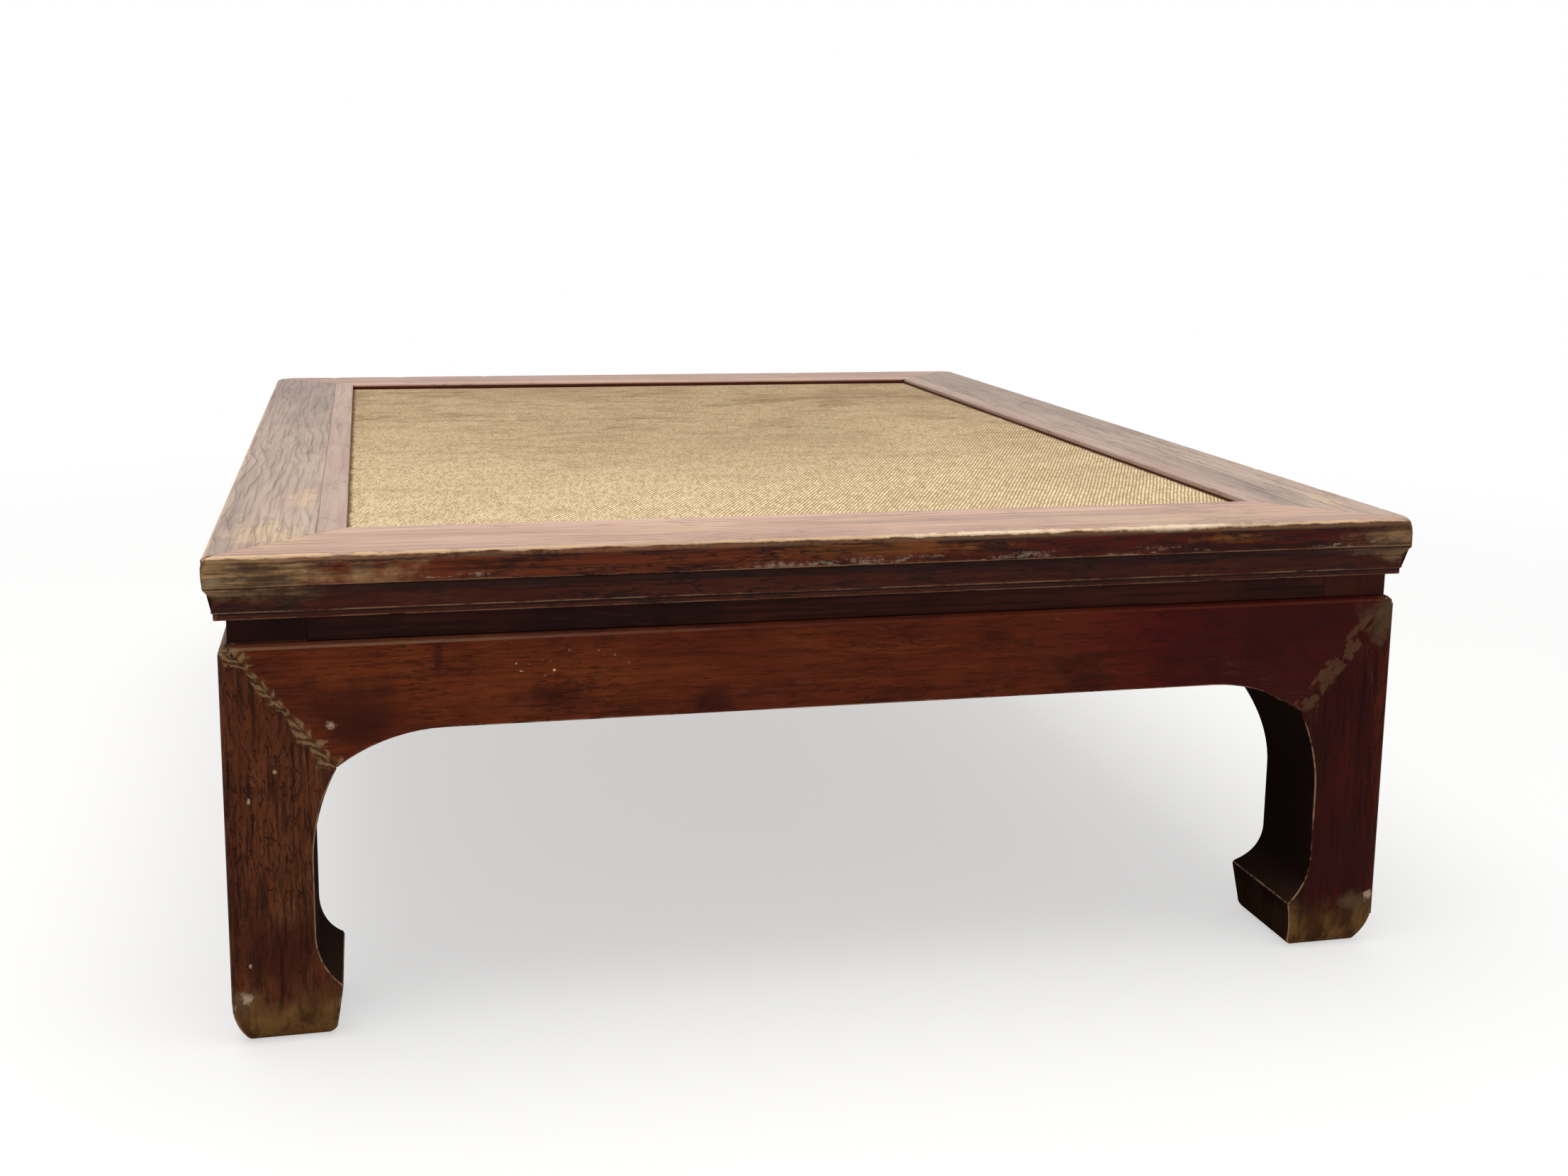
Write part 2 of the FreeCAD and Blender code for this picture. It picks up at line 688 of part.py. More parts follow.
def waist_slots(body, across, along, sideways):
    # grooves in the post for the end tongues of the two waist strips
    def slot(side, place):
        start = side.leg_inner - d.waist_tongue_end - d.fit
        stop = side.leg_inner + d.saw_over
        return [place(start, shoulder), place(stop, shoulder), place(stop, under + d.saw_over),
                place(start, under + d.saw_over)]

    slab(body, "Pocket", "XZ", waist_tongue_in - d.fit - half_length,
         waist_tongue_out + d.fit - half_length, slot(ends, across))
    slab(body, "Pocket", "YZ", *sideways(waist_tongue_in - d.fit, waist_tongue_out + d.fit),
         slot(flanks, along))


def round_leg_corner(body, hand):
    # softened outer edge of the leg below the shoulder
    start = d.leg_inset
    stop = d.leg_inset + d.leg_corner_round
    over = d.leg_inset - d.saw_over

    def at(x, y, *bend):
        return (hand * (x - half_width), y - half_length) + bend

    slab(body, "Pocket", "XY", -d.saw_over, shoulder,
         [at(over, over), at(stop, over), at(stop, start, d.leg_corner_round, -hand),
          at(start, stop), at(over, stop)])


def corner_pegs(name):
    # pegs driven up through the frame's corner tenons, their ends flush underneath
    pegs = []
    for x, y in peg_places():
        peg = doc.addObject("Part::Cylinder", "peg")
        peg.setExpression("Radius", (d.peg_diameter / 2).formula)
        peg.setExpression("Height", d.peg_length.formula)
        peg.setExpression("Placement.Base.x", x.formula)
        peg.setExpression("Placement.Base.y", y.formula)
        peg.setExpression("Placement.Base.z", under.formula)
        pegs.append(peg)
    group = doc.addObject("Part::Compound", name)
    group.Label = name
    group.Links = pegs
    return group


def build_table():
    pieces = []
    for suffix, half_turn in (("front", False), ("back", True)):
        pieces.append(end_rail("end_rail_" + suffix, half_turn))
        pieces.append(mat_batten(ends, "mat_batten_" + suffix, half_turn))
        pieces.append(waist(ends, "waist_" + suffix, half_turn))
        pieces.append(apron(ends, "apron_" + suffix, half_turn))
    for suffix, half_turn in (("left", False), ("right", True)):
        pieces.append(side_stile("side_stile_" + suffix, half_turn))
        pieces.append(mat_batten(flanks, "mat_batten_" + suffix, half_turn))
        pieces.append(waist(flanks, "waist_" + suffix, half_turn))
        pieces.append(apron(flanks, "apron_" + suffix, half_turn))
    for suffix, hand, half_turn in (("front_left", 1, False), ("front_right", -1, False),
                                    ("back_left", -1, True), ("back_right", 1, True)):
        pieces.append(hoof_leg("leg_" + suffix, hand, half_turn))
    pieces.append(woven_mat("woven_mat"))
    pieces.extend(panel_board(index) for index in range(board_count))
    pieces.extend(cross_brace(index) for index in range(brace_count))
    pieces.append(corner_pegs("corner_pegs"))
    return pieces


def check_model(pieces):
    # every feature computed, every cut took wood away, every piece whole
    for item in doc.Objects:
        if "Invalid" in item.State or "Error" in item.State:
            raise RuntimeError("%s failed: %s" % (item.Label, item.State))
        if item.TypeId == "PartDesign::Pocket":
            if item.Shape.Volume >= item.BaseFeature.Shape.Volume - d.fit.value:
                raise RuntimeError("%s cuts nothing" % item.Name)
    for piece in pieces:
        if piece.Shape.isNull() or not piece.Shape.isValid():
            raise RuntimeError("%s has no valid shape" % piece.Label)
        if piece.TypeId == "PartDesign::Body" and len(piece.Shape.Solids) != 1:
            raise RuntimeError("%s is in %d solids" % (piece.Label, len(piece.Shape.Solids)))


table_pieces = build_table()
doc.recompute()
check_model(table_pieces)
os.makedirs("parts", exist_ok=True)
for piece in table_pieces:
    piece.Shape.exportStep("parts/%s.step" % piece.Label)
print("%d pieces" % len(table_pieces))
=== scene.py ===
import math

import bmesh
import bpy
from mathutils import Matrix, Vector, noise
from mathutils.bvhtree import BVHTree


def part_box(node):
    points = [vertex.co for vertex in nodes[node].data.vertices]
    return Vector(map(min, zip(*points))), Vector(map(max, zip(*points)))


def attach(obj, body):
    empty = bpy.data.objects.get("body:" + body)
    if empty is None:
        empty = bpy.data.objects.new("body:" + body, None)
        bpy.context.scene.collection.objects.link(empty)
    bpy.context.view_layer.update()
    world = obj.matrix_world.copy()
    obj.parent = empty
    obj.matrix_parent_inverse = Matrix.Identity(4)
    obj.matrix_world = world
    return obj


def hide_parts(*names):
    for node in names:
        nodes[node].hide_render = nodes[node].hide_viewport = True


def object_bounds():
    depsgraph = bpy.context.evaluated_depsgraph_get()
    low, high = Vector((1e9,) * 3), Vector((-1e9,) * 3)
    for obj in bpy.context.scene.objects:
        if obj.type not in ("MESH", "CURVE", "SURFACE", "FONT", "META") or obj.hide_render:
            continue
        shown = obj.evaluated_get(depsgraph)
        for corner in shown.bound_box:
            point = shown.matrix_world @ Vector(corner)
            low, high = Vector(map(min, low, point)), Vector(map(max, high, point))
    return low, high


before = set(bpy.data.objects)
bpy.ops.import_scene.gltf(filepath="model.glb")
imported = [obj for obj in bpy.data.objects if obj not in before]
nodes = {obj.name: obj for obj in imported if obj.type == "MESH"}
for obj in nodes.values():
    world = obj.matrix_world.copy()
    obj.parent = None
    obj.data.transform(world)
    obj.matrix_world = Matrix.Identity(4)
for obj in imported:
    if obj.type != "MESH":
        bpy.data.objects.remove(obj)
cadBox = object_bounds()
scene = bpy.context.scene
scene.view_settings.view_transform = "Standard"
print("frame loaded,", len(nodes), "nodes")

# levels and faces of the table, metres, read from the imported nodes
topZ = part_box("end_rail_front")[1].z
halfWide, halfLong = cadBox[1].x, cadBox[1].y
cuspZ, shoulderZ = (corner.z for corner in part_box("apron_front"))
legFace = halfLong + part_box("leg_front_left")[0].y  # frame edge to the face of the legs
axisX, axisY, axisZ = Vector((1, 0, 0)), Vector((0, 1, 0)), Vector((0, 0, 1))


class Look(dict):
    # settings that are read as attributes
    __getattr__ = dict.__getitem__


# slanting joint of leg and apron, in from the frame's edge at its upper and lower end
mitre = Look(shoulder=0.013, cuspX=0.0808, cuspY=0.110)


def tint(red, green, blue):
    # screen colour to the linear values that the shader takes
    def line(part):
        part = part / 255
        return part / 12.92 if part <= 0.04045 else ((part + 0.055) / 1.055) ** 2.4
    return (line(red), line(green), line(blue), 1.0)


cameraView = Look(
    place=(-0.32338, -1.69372, 0.56847),
    right=(0.97352539, -0.2281994, 0.01316649),
    down=(-0.02606656, -0.16805975, -0.98543212),
    ahead=(0.22708777, 0.95899998, -0.16955881),
    lens=40.711,
    sensor=36.0,
    shiftY=-0.0585,
)


def addCamera():
    data = bpy.data.cameras.new("viewCamera")
    data.lens = cameraView.lens
    data.sensor_width = cameraView.sensor
    data.shift_y = cameraView.shiftY
    camera = bpy.data.objects.new("viewCamera", data)
    right, down, ahead = (Vector(cameraView[key]) for key in ("right", "down", "ahead"))
    turn = Matrix((right, -down, -ahead)).transposed().to_4x4()
    camera.matrix_world = Matrix.Translation(cameraView.place) @ turn
    scene.collection.objects.link(camera)
    scene.camera = camera


class Wiring:
    # short hand for wiring shader nodes

    def __init__(self, tree):
        self.tree = tree

    def feed(self, socket, value):
        if isinstance(value, bpy.types.NodeSocket):
            self.tree.links.new(value, socket)
        elif value is not None:
            socket.default_value = value

    def node(self, kind, inputs=None, **settings):
        made = self.tree.nodes.new(kind)
        for name, value in settings.items():
            setattr(made, name, value)
        for key, value in (inputs or {}).items():
            self.feed(made.inputs[key], value)
        return made

    def group(self, tree, inputs):
        return self.node("ShaderNodeGroup", inputs, node_tree=tree).outputs

    def point(self):
        return self.node("ShaderNodeTexCoord").outputs["Object"]

    def normal(self):
        return self.node("ShaderNodeNewGeometry").outputs["Normal"]

    def attribute(self, name):
        return self.node("ShaderNodeAttribute", attribute_name=name).outputs["Fac"]

    def split(self, vector):
        return self.node("ShaderNodeSeparateXYZ", {"Vector": vector}).outputs[:]

    def turned(self, vector, scale=(1, 1, 1), angle=(0, 0, 0), shift=(0, 0, 0)):
        made = self.node("ShaderNodeMapping", {"Vector": vector, "Scale": scale,
                                               "Rotation": angle, "Location": shift})
        return made.outputs["Vector"]

    def noise(self, vector, scale, detail=2.0, roughness=0.5):
        if isinstance(scale, tuple):  # three scales draw the pattern out along the axes
            vector, scale = self.turned(vector, scale=scale), 1.0
        made = self.node("ShaderNodeTexNoise", {"Vector": vector, "Scale": scale, "Detail": detail,
                                                "Roughness": roughness})
        return made.outputs["Fac"]

    def wobble(self, vector, scale, detail=2.0, roughness=0.5):
        # noise about zero
        return self.minus(self.noise(vector, scale, detail, roughness), 0.5)

    def math(self, operation, *values):
        made = self.node("ShaderNodeMath", operation=operation)
        for socket, value in zip(made.inputs, values):
            self.feed(socket, value)
        return made.outputs[0]

    def plus(self, first, second):
        return self.math("ADD", first, second)

    def minus(self, first, second):
        return self.math("SUBTRACT", first, second)

    def flip(self, share):
        return self.math("SUBTRACT", 1.0, share)

    def scaled(self, value, factor, base):
        # value times factor, added to base
        return self.math("MULTIPLY_ADD", value, factor, base)

    def size(self, value):
        return self.math("ABSOLUTE", value)

    def least(self, first, second):
        return self.math("MINIMUM", first, second)

    def most(self, first, *others):
        for other in others:
            first = self.math("MAXIMUM", first, other)
        return first

    def times(self, first, *others):
        for other in others:
            first = self.math("MULTIPLY", first, other)
        return first

    def rise(self, value, low, high):
        # smooth step from 0 at low to 1 at high
        made = self.node("ShaderNodeMapRange", {"Value": value, "From Min": low, "From Max": high},
                         interpolation_type="SMOOTHSTEP")
        return made.outputs["Result"]

    def vector(self, operation, *values):
        made = self.node("ShaderNodeVectorMath", operation=operation)
        for socket, value in zip(made.inputs, values):
            self.feed(socket, value)
        return made.outputs["Value" if operation in ("LENGTH", "DOT_PRODUCT") else "Vector"]

    def mix(self, share, first, second):
        made = self.node("ShaderNodeMix", {0: share, 6: first, 7: second}, data_type="RGBA")
        return made.outputs[2]

    def lay(self, colour, *coats):
        # tones laid over the colour in turn, each where its mask shows and to its strength
        for tone, mask, strength in coats:
            colour = self.mix(self.times(mask, strength), colour, tone)
        return colour

    def between(self, share, first, second):
        made = self.node("ShaderNodeMix", {0: share, 2: first, 3: second}, data_type="FLOAT")
        return made.outputs[0]

    def bump(self, height, strength, distance):
        made = self.node("ShaderNodeBump", {"Height": height, "Strength": strength,
                                            "Distance": distance})
        return made.outputs["Normal"]


def effect(name, inputs, outputs):
    # node group with a vector and further inputs, and some masks or values out
    tree = bpy.data.node_groups.new(name, "ShaderNodeTree")
    for label, value in {"Vector": (0, 0, 0), **inputs}.items():
        kind = "NodeSocketVector" if isinstance(value, tuple) else "NodeSocketFloat"
        socket = tree.interface.new_socket(label, in_out="INPUT", socket_type=kind)
        socket.default_value = value
    for label in outputs:
        tree.interface.new_socket(label, in_out="OUTPUT", socket_type="NodeSocketFloat")
    w = Wiring(tree)
    given, out = w.node("NodeGroupInput").outputs, w.node("NodeGroupOutput").inputs
    return w, given["Vector"], given, out


def makeElmGrain():
    # wood grain along the vector's X: growth rings round a pith under the board, fibres and pores
    w, vector, given, out = effect("elmGrain", {"Rings": 150.0, "Waver": 7.0, "Thin": 2.0},
                                   ("Figure", "Fibre", "Pores", "Cracks"))
    pithDepth = 0.22
    y, z = w.split(vector)[1:]
    deep = w.plus(z, pithDepth)
    radius = w.math("SQRT", w.plus(w.times(y, y), w.times(deep, deep)))
    warp = w.noise(vector, (3.2, 9, 9), 3.0, 0.55)
    saw = w.math("FRACT", w.scaled(radius, given["Rings"], w.times(warp, given["Waver"])))
    late = w.times(w.math("POWER", saw, given["Thin"]), w.rise(saw, 1.0, 0.93))
    w.feed(out["Figure"], w.times(late, w.rise(w.noise(vector, (5, 40, 40)), 0.3, 0.65)))
    w.feed(out["Fibre"], w.noise(vector, (9, 330, 330), 3.0, 0.6))
    w.feed(out["Pores"], w.rise(w.noise(vector, (60, 900, 900), 1.0), 0.62, 0.7))
    vein = w.rise(w.size(w.wobble(vector, (14, 130, 130), 4.0, 0.6)), 0.022, 0.004)
    w.feed(out["Cracks"], w.times(vein, w.rise(w.noise(vector, 11.0), 0.42, 0.58)))
    return w.tree


def makeSoftSpot():
    # ragged ellipsoid round a centre, for stains, patches and worn places
    w, vector, given, out = effect("softSpot", {"Centre": (0, 0, 0), "Size": (1, 1, 1),
                                                "Ragged": 0.5, "Grit": 120.0}, ("Mask",))
    away = w.vector("DIVIDE", w.vector("SUBTRACT", vector, given["Centre"]), given["Size"])
    rough = w.wobble(vector, given["Grit"], 5.0, 0.65)
    reach = w.scaled(rough, given["Ragged"], w.vector("LENGTH", away))
    w.feed(out["Mask"], w.rise(reach, 1.2, 0.35))
    return w.tree


def makeEdgeWear():
    # the arris attribute broken up, so that only the rubbed lengths show through
    w, vector, given, out = effect("edgeWear", {"Arris": 0.0, "Rub": 0.5}, ("Mask",))
    broad, fine = w.noise(vector, 14.0, 3.0, 0.6), w.noise(vector, 260.0, 3.0, 0.6)
    rubbed = w.plus(w.times(broad, 0.65), w.times(fine, 0.35))
    shown = w.rise(w.minus(rubbed, w.flip(given["Rub"])), -0.06, 0.08)
    w.feed(out["Mask"], w.times(shown, w.rise(given["Arris"], 0.15, 0.75)))
    return w.tree


def makeScuffs():
    # patches of short scratches along the grain, and small dents
    w, vector, given, out = effect("scuffs", {"Amount": 0.5}, ("Mask", "Dents"))
    slanted = w.turned(vector, scale=(45, 330, 330), angle=(0, 0.06, 0.09))
    scratch = w.rise(w.noise(slanted, 1.0, 3.0, 0.7), 0.52, 0.74)
    level = w.flip(w.times(given["Amount"], 0.6))
    patch = w.rise(w.noise(vector, 16.0), w.times(level, 0.7), level)
    w.feed(out["Mask"], w.times(patch, scratch))
    w.feed(out["Dents"], w.rise(w.noise(vector, 55.0, 1.0), 0.66, 0.76))
    return w.tree


fillerShape = Look(dabs=150.0, dabEdge=(0.0014, -0.0006), smearEdge=(0.0080, 0.0058),
                   jointEdge=(0.0009, 0.0003), nearEdge=(0.005, 0.003),
                   footFade=(cuspZ - 0.003, cuspZ + 0.003),
                   topFade=(shoulderZ + 0.003, shoulderZ - 0.001))


def makeMitreCrust():
    # old filler along the mitres of legs and aprons: dabs either side of the joint, or broad smears
    look = fillerShape
    w, vector, given, out = effect("mitreCrust", {"Normal": (0, 0, 0)},
                                   ("Crust", "Smear", "Joint", "Near"))
    x, z = w.split(vector)[::2]
    sizeX, sizeY = w.split(w.vector("ABSOLUTE", vector))[:2]
    faceX, faceY = w.split(w.vector("ABSOLUTE", given["Normal"]))[:2]
    gritty = w.wobble(vector, 95.0, 4.0, 0.65)
    lumpy = w.noise(vector, 42.0)
    islandApron = w.noise(vector, 64.0, 3.0, 0.55)
    islandLeg = w.noise(w.turned(vector, shift=(3.1, 5.3, 7.7)), 64.0, 3.0, 0.55)
    drop = w.minus(shoulderZ, z)
    inReach = w.times(w.rise(z, *look.footFade), w.rise(z, *look.topFade))
    crust, smear, joint, near = [], [], [], []
    for along, face, half, cusp in ((sizeX, faceY, halfWide, mitre.cuspX),
                                    (sizeY, faceX, halfLong, mitre.cuspY)):
        slope = (cusp - mitre.shoulder) / (shoulderZ - cuspZ)
        lean = 1 / math.sqrt(1 + slope * slope)
        across = w.scaled(along, lean, -(half - mitre.shoulder) * lean)
        across = w.scaled(drop, slope * lean, across)  # above 0 on the leg's side
        off = w.size(across)
        here = w.times(inReach, w.rise(face, 0.6, 0.8))
        phase = w.plus(w.times(z, look.dabs), w.times(off, -look.dabs))
        dab = w.math("FRACT", w.plus(phase, w.scaled(lumpy, 3.0, w.times(gritty, 2.0))))
        stroke = w.times(w.rise(dab, 0.15, 0.45), w.rise(dab, 0.95, 0.65))
        wide = w.scaled(gritty, 0.020, w.scaled(lumpy, 0.014, -0.0040))
        dabbed = w.rise(w.minus(off, wide), *look.dabEdge)
        crust.append(w.times(here, w.between(stroke, 0.12, 1.0), dabbed))
        island = w.between(w.rise(across, -0.0003, 0.0003), islandApron, islandLeg)
        smeared = w.rise(w.scaled(gritty, 0.016, off), *look.smearEdge)
        patch = w.times(w.rise(island, 0.47, 0.52), smeared)
        smear.append(w.times(here, patch))
        joint.append(w.times(here, w.rise(off, *look.jointEdge), w.flip(w.times(patch, 0.8))))
        near.append(w.times(here, w.rise(off, *look.nearEdge)))
    right = w.rise(x, -0.01, 0.01)
    w.feed(out["Crust"], w.times(w.most(*crust), w.flip(right)))
    w.feed(out["Smear"], w.times(w.most(*smear), right))
    w.feed(out["Joint"], w.most(*joint))
    w.feed(out["Near"], w.most(*near))
    return w.tree


def makeFootWear():
    # bare wood round the bottom of the feet, with a ragged upper edge
    w, vector, given, out = effect("footWear", {"Level": 0.03}, ("Mask",))
    ragged = w.wobble(vector, 38.0, 4.0, 0.65)
    height = w.minus(w.scaled(ragged, 0.045, w.split(vector)[2]), given["Level"])
    w.feed(out["Mask"], w.rise(height, 0.012, -0.012))
    return w.tree


def makeInward():
    # 1 on faces that look to the middle of the table
    w, vector, given, out = effect("inward", {"Normal": (0, 0, 0)}, ("Mask",))
    flat = w.vector("NORMALIZE", w.vector("MULTIPLY", vector, (1, 1, 0)))
    w.feed(out["Mask"], w.rise(w.vector("DOT_PRODUCT", flat, given["Normal"]), 0.1, -0.1))
    return w.tree


def makeTwillWeave():
    # split cane, two over and one under, each strip a step on from the last, so that ribs slant
    w, vector, given, out = effect("twillWeave", {"Across": 0.00105, "Along": 0.0022},
                                   ("Height", "Tone", "Cross", "Gap"))
    repeat = 3.0
    x, y = w.split(vector)[:2]
    sway, uneven = w.wobble(vector, 22.0, 3.0), w.wobble(vector, 130.0)
    u = w.plus(w.math("DIVIDE", x, given["Across"]), w.scaled(sway, 5.0, w.times(uneven, 0.9)))
    v = w.plus(w.math("DIVIDE", y, given["Along"]), w.scaled(sway, 3.0, w.times(uneven, 0.7)))
    partU, partV = w.math("FRACT", u), w.math("FRACT", v)
    strip = w.math("FLOOR", u)
    row = w.minus(w.math("FLOOR", v), strip)
    step = w.math("FLOORED_MODULO", row, repeat)
    over = w.math("LESS_THAN", step, 1.5)  # 1 where the lengthwise strip lies on top
    length = w.math("FLOOR", w.math("DIVIDE", row, repeat))

    def chance(wide):
        # a tone for each length of cane, or for a few side by side
        beside = w.math("FLOOR", w.math("DIVIDE", strip, wide))
        place = w.node("ShaderNodeCombineXYZ", {"X": beside, "Y": length})
        return w.node("ShaderNodeTexWhiteNoise", {"Vector": place.outputs[0]}).outputs["Value"]

    def hump(part):
        off = w.scaled(part, 2.0, -1.0)
        return w.flip(w.times(off, off))

    run = w.math("DIVIDE", w.plus(step, partV), 2.0)
    highLong = w.plus(w.times(hump(partU), 0.4), w.times(hump(run), 0.6))
    highCross = w.plus(w.times(hump(partV), 0.25), w.times(hump(partU), 0.2))
    height = w.between(over, highCross, highLong)
    tone = w.scaled(chance(3.0), 0.22, w.times(chance(1.0), 0.3))
    tone = w.scaled(w.noise(vector, (480, 70, 1)), 0.25, tone)
    w.feed(out["Height"], height)
    w.feed(out["Tone"], w.rise(w.scaled(height, 0.2, tone), 0.25, 0.72))
    w.feed(out["Cross"], w.flip(over))
    w.feed(out["Gap"], w.rise(height, 0.45, 0.1))
    return w.tree


elmGrain, softSpot, edgeWear = makeElmGrain(), makeSoftSpot(), makeEdgeWear()
scuffs, twillWeave, mitreCrust = makeScuffs(), makeTwillWeave(), makeMitreCrust()
footWear, inward = makeFootWear(), makeInward()
print("shared effects ready")

grainTurns = {"x": (0, 0, 0), "y": (0, 0, math.radians(-90)), "z": (0, math.radians(90), 0)}


def newMaterial(name, specular):
    material = bpy.data.materials.new(name)
    material.use_nodes = True
    shader = material.node_tree.nodes["Principled BSDF"]
    shader.inputs["Specular IOR Level"].default_value = specular
    return material, Wiring(material.node_tree), shader.inputs


def newWood(name, look, grain):
    # material with its grain laid along an axis
    material, w, shader = newMaterial(name, look.specular)
    point = w.point()
    along = w.turned(point, angle=grainTurns[grain])
    return material, w, shader, point, along, w.group(elmGrain, {"Vector": along, **look.grain})


def finishLook(w, shader, look, colour, roughness, height):
    w.feed(shader["Base Color"], colour)
    w.feed(shader["Roughness"], roughness)
    w.feed(shader["Normal"], w.bump(height, *look.bump))


def spots(w, point, places):
    # the highest of several soft spots
    labels = ("Centre", "Size", "Ragged", "Grit")
    return w.most(*(w.group(softSpot, {"Vector": point, **dict(zip(labels, place))})["Mask"]
                    for place in places))


def rubbedEdges(w, point, amount):
    return w.group(edgeWear, {"Vector": point, "Arris": w.attribute("arris"), "Rub": amount})["Mask"]


def edgeInset(w, point, wide=halfWide, long=halfLong):
    # distance in from the nearest edge of a rectangle, as a rule the top's outer edge
    x, y = w.split(w.vector("ABSOLUTE", point))[:2]
    return w.least(w.minus(wide, x), w.minus(long, y))


apronLook = Look(
    light=tint(106, 49, 20),
    lightFar=tint(81, 21, 16),
    body=tint(85, 34, 16),
    far=tint(71, 14, 14),  # towards the right
    farFrom=0.04, farTo=0.36, farRagged=0.5,
    dark=tint(42, 14, 8),
    grain={"Rings": 150.0, "Waver": 7.0, "Thin": 2.5},
    figure=0.32, fibre=0.42, streak=0.6, cracks=0.6, scuff=0.06, blotch=0.75,
    footLevel=0.0, short=1.4,
)
longApronLook = Look(apronLook, lightFar=tint(92, 38, 19), far=tint(74, 27, 15))
legLeftLook = Look(
    light=tint(103, 56, 30),
    lightFar=tint(98, 50, 28),
    body=tint(81, 40, 22),
    far=tint(72, 34, 20),
    farFrom=0.0, farTo=0.4, farRagged=0.8,
    dark=tint(32, 14, 9),
    grain={"Rings": 210.0, "Waver": 14.0, "Thin": 2.2},
    figure=0.45, fibre=0.9, streak=0.8, cracks=0.9, scuff=0.12, blotch=0.5,
    footLevel=0.030, short=2.8,
)
legRightLook = Look(
    light=tint(66, 19, 11),
    lightFar=tint(84, 29, 14),
    body=tint(51, 11, 8),
    far=tint(72, 24, 11),
    farFrom=0.408, farTo=0.422, farRagged=0.03,
    dark=tint(26, 8, 6),
    grain={"Rings": 190.0, "Waver": 12.0, "Thin": 2.2},
    figure=0.4, fibre=0.8, streak=0.6, cracks=0.6, scuff=0.05, blotch=0.4,
    footLevel=0.030, short=1.6,
)
lacquerWear = Look(
    rubbed=tint(166, 130, 102),
    foot=tint(112, 80, 43),
    footDark=tint(64, 40, 22),
    crust=tint(144, 118, 82),
    smear=tint(86, 58, 41),
    olive=tint(90, 71, 50),
    joint=tint(26, 12, 8),
    # inner faces: a dark finish with painted shade
    inside=tint(14, 6, 5),
    # painted highlight on the up-facing tops of the hooves
    ledge=tint(44, 30, 23),
    speck=tint(190, 164, 138),
    # painted reflection of the sky on the shoulder, at its left and at its right end
    shoulderLeft=tint(146, 112, 88),
    shoulderRight=tint(100, 44, 30),
    shade=tint(44, 13, 10),
    # where one finish gives way to the next: heights, and for the lip a depth
    hoofFade=(0.13, 0.09),
    shoulderFade=(shoulderZ - 0.012, shoulderZ - 0.008), lipFade=(0.0008, 0.0026),
    postFade=(shoulderZ + 0.0005, shoulderZ + 0.0015),
    rub=0.54, scuffs=0.6, bump=(0.5, 0.0012), specular=0.04,
)
# marks: centre, reach, raggedness and grit of each soft spot
apronMarks = Look(
    glow=[((-0.215, -0.537, 0.243), (0.105, 0.03, 0.032), 2.0, 24.0),
          ((-0.315, -0.537, 0.252), (0.07, 0.03, 0.024), 2.0, 24.0)],
    shade=[((-0.338, -0.537, 0.230), (0.032, 0.02, 0.024), 1.6, 38.0),
           ((-0.0957, -0.537, 0.2242), (0.016, 0.02, 0.011), 2.0, 60.0),
           ((-0.283, -0.537, 0.2609), (0.0036, 0.01, 0.015), 1.6, 120.0),
           ((-0.205, -0.537, 0.232), (0.030, 0.02, 0.010), 2.2, 45.0),
           ((0.34, -0.537, 0.240), (0.13, 0.03, 0.07), 1.2, 14.0),
           ((0.107, -0.537, 0.259), (0.017, 0.02, 0.005), 1.2, 90.0)],
    specks=[((-0.200, -0.537, 0.2535), (0.042, 0.02, 0.013), 0.2, 60.0)],
    pale=[((-0.3525, -0.537, 0.2195), (0.0045, 0.01, 0.0035), 3.0, 150.0)],
    olive=[((0.412, -0.537, 0.262), (0.018, 0.02, 0.016), 3.4, 45.0)],
)
leftLegMarks = Look(
    glow=[((-0.385, -0.537, 0.15), (0.03, 0.05, 0.05), 2.0, 24.0)],
    shade=[((-0.39, -0.537, 0.070), (0.032, 0.06, 0.022), 2.4, 30.0),
           ((-0.425, -0.537, 0.120), (0.010, 0.05, 0.06), 2.4, 50.0)],
    specks=[((-0.40, -0.537, 0.18), (0.006, 0.02, 0.006), 0.5, 60.0)],
    pale=[((-0.406, -0.537, 0.171), (0.0011, 0.01, 0.0022), 1.0, 200.0),
          ((-0.409, -0.537, 0.057), (0.0010, 0.01, 0.0017), 1.0, 200.0),
          ((-0.389, -0.537, 0.190), (0.0012, 0.01, 0.0012), 2.0, 200.0),
          ((-0.412, -0.537, 0.034), (0.0050, 0.01, 0.0045), 3.2, 150.0)],
    olive=[((-0.412, -0.537, 0.034), (0.012, 0.02, 0.009), 3.0, 90.0)],
)
rightLegMarks = Look(
    glow=[((0.412, -0.537, 0.22), (0.012, 0.05, 0.05), 2.0, 24.0)],
    shade=[((0.385, -0.537, 0.072), (0.06, 0.08, 0.032), 2.4, 30.0)],
    specks=[],
    pale=[((0.4165, -0.537, 0.040), (0.0035, 0.02, 0.0040), 3.2, 150.0)],
    olive=[((0.412, -0.537, 0.262), (0.018, 0.04, 0.016), 3.4, 45.0),
           ((0.411, -0.537, 0.036), (0.020, 0.05, 0.010), 2.8, 60.0)],
)
waistLook = Look(body=tint(62, 26, 17), dark=tint(28, 11, 8), rubbed=tint(98, 66, 50),
                 grain={"Rings": 160.0, "Waver": 5.0}, rub=0.4, scuffs=0.75,
                 bump=(0.3, 0.001), specular=0.05)


def waistTone(w, point, fibre, strength):
    # dark strip under the frame, on the waist and on the posts of the legs
    look = waistLook
    tone = w.mix(w.rise(w.noise(point, 9.0, 3.0, 0.6), 0.3, 0.7), look.body, look.dark)
    return w.lay(tone, (look.dark, w.rise(fibre, 0.45, 0.65), strength))


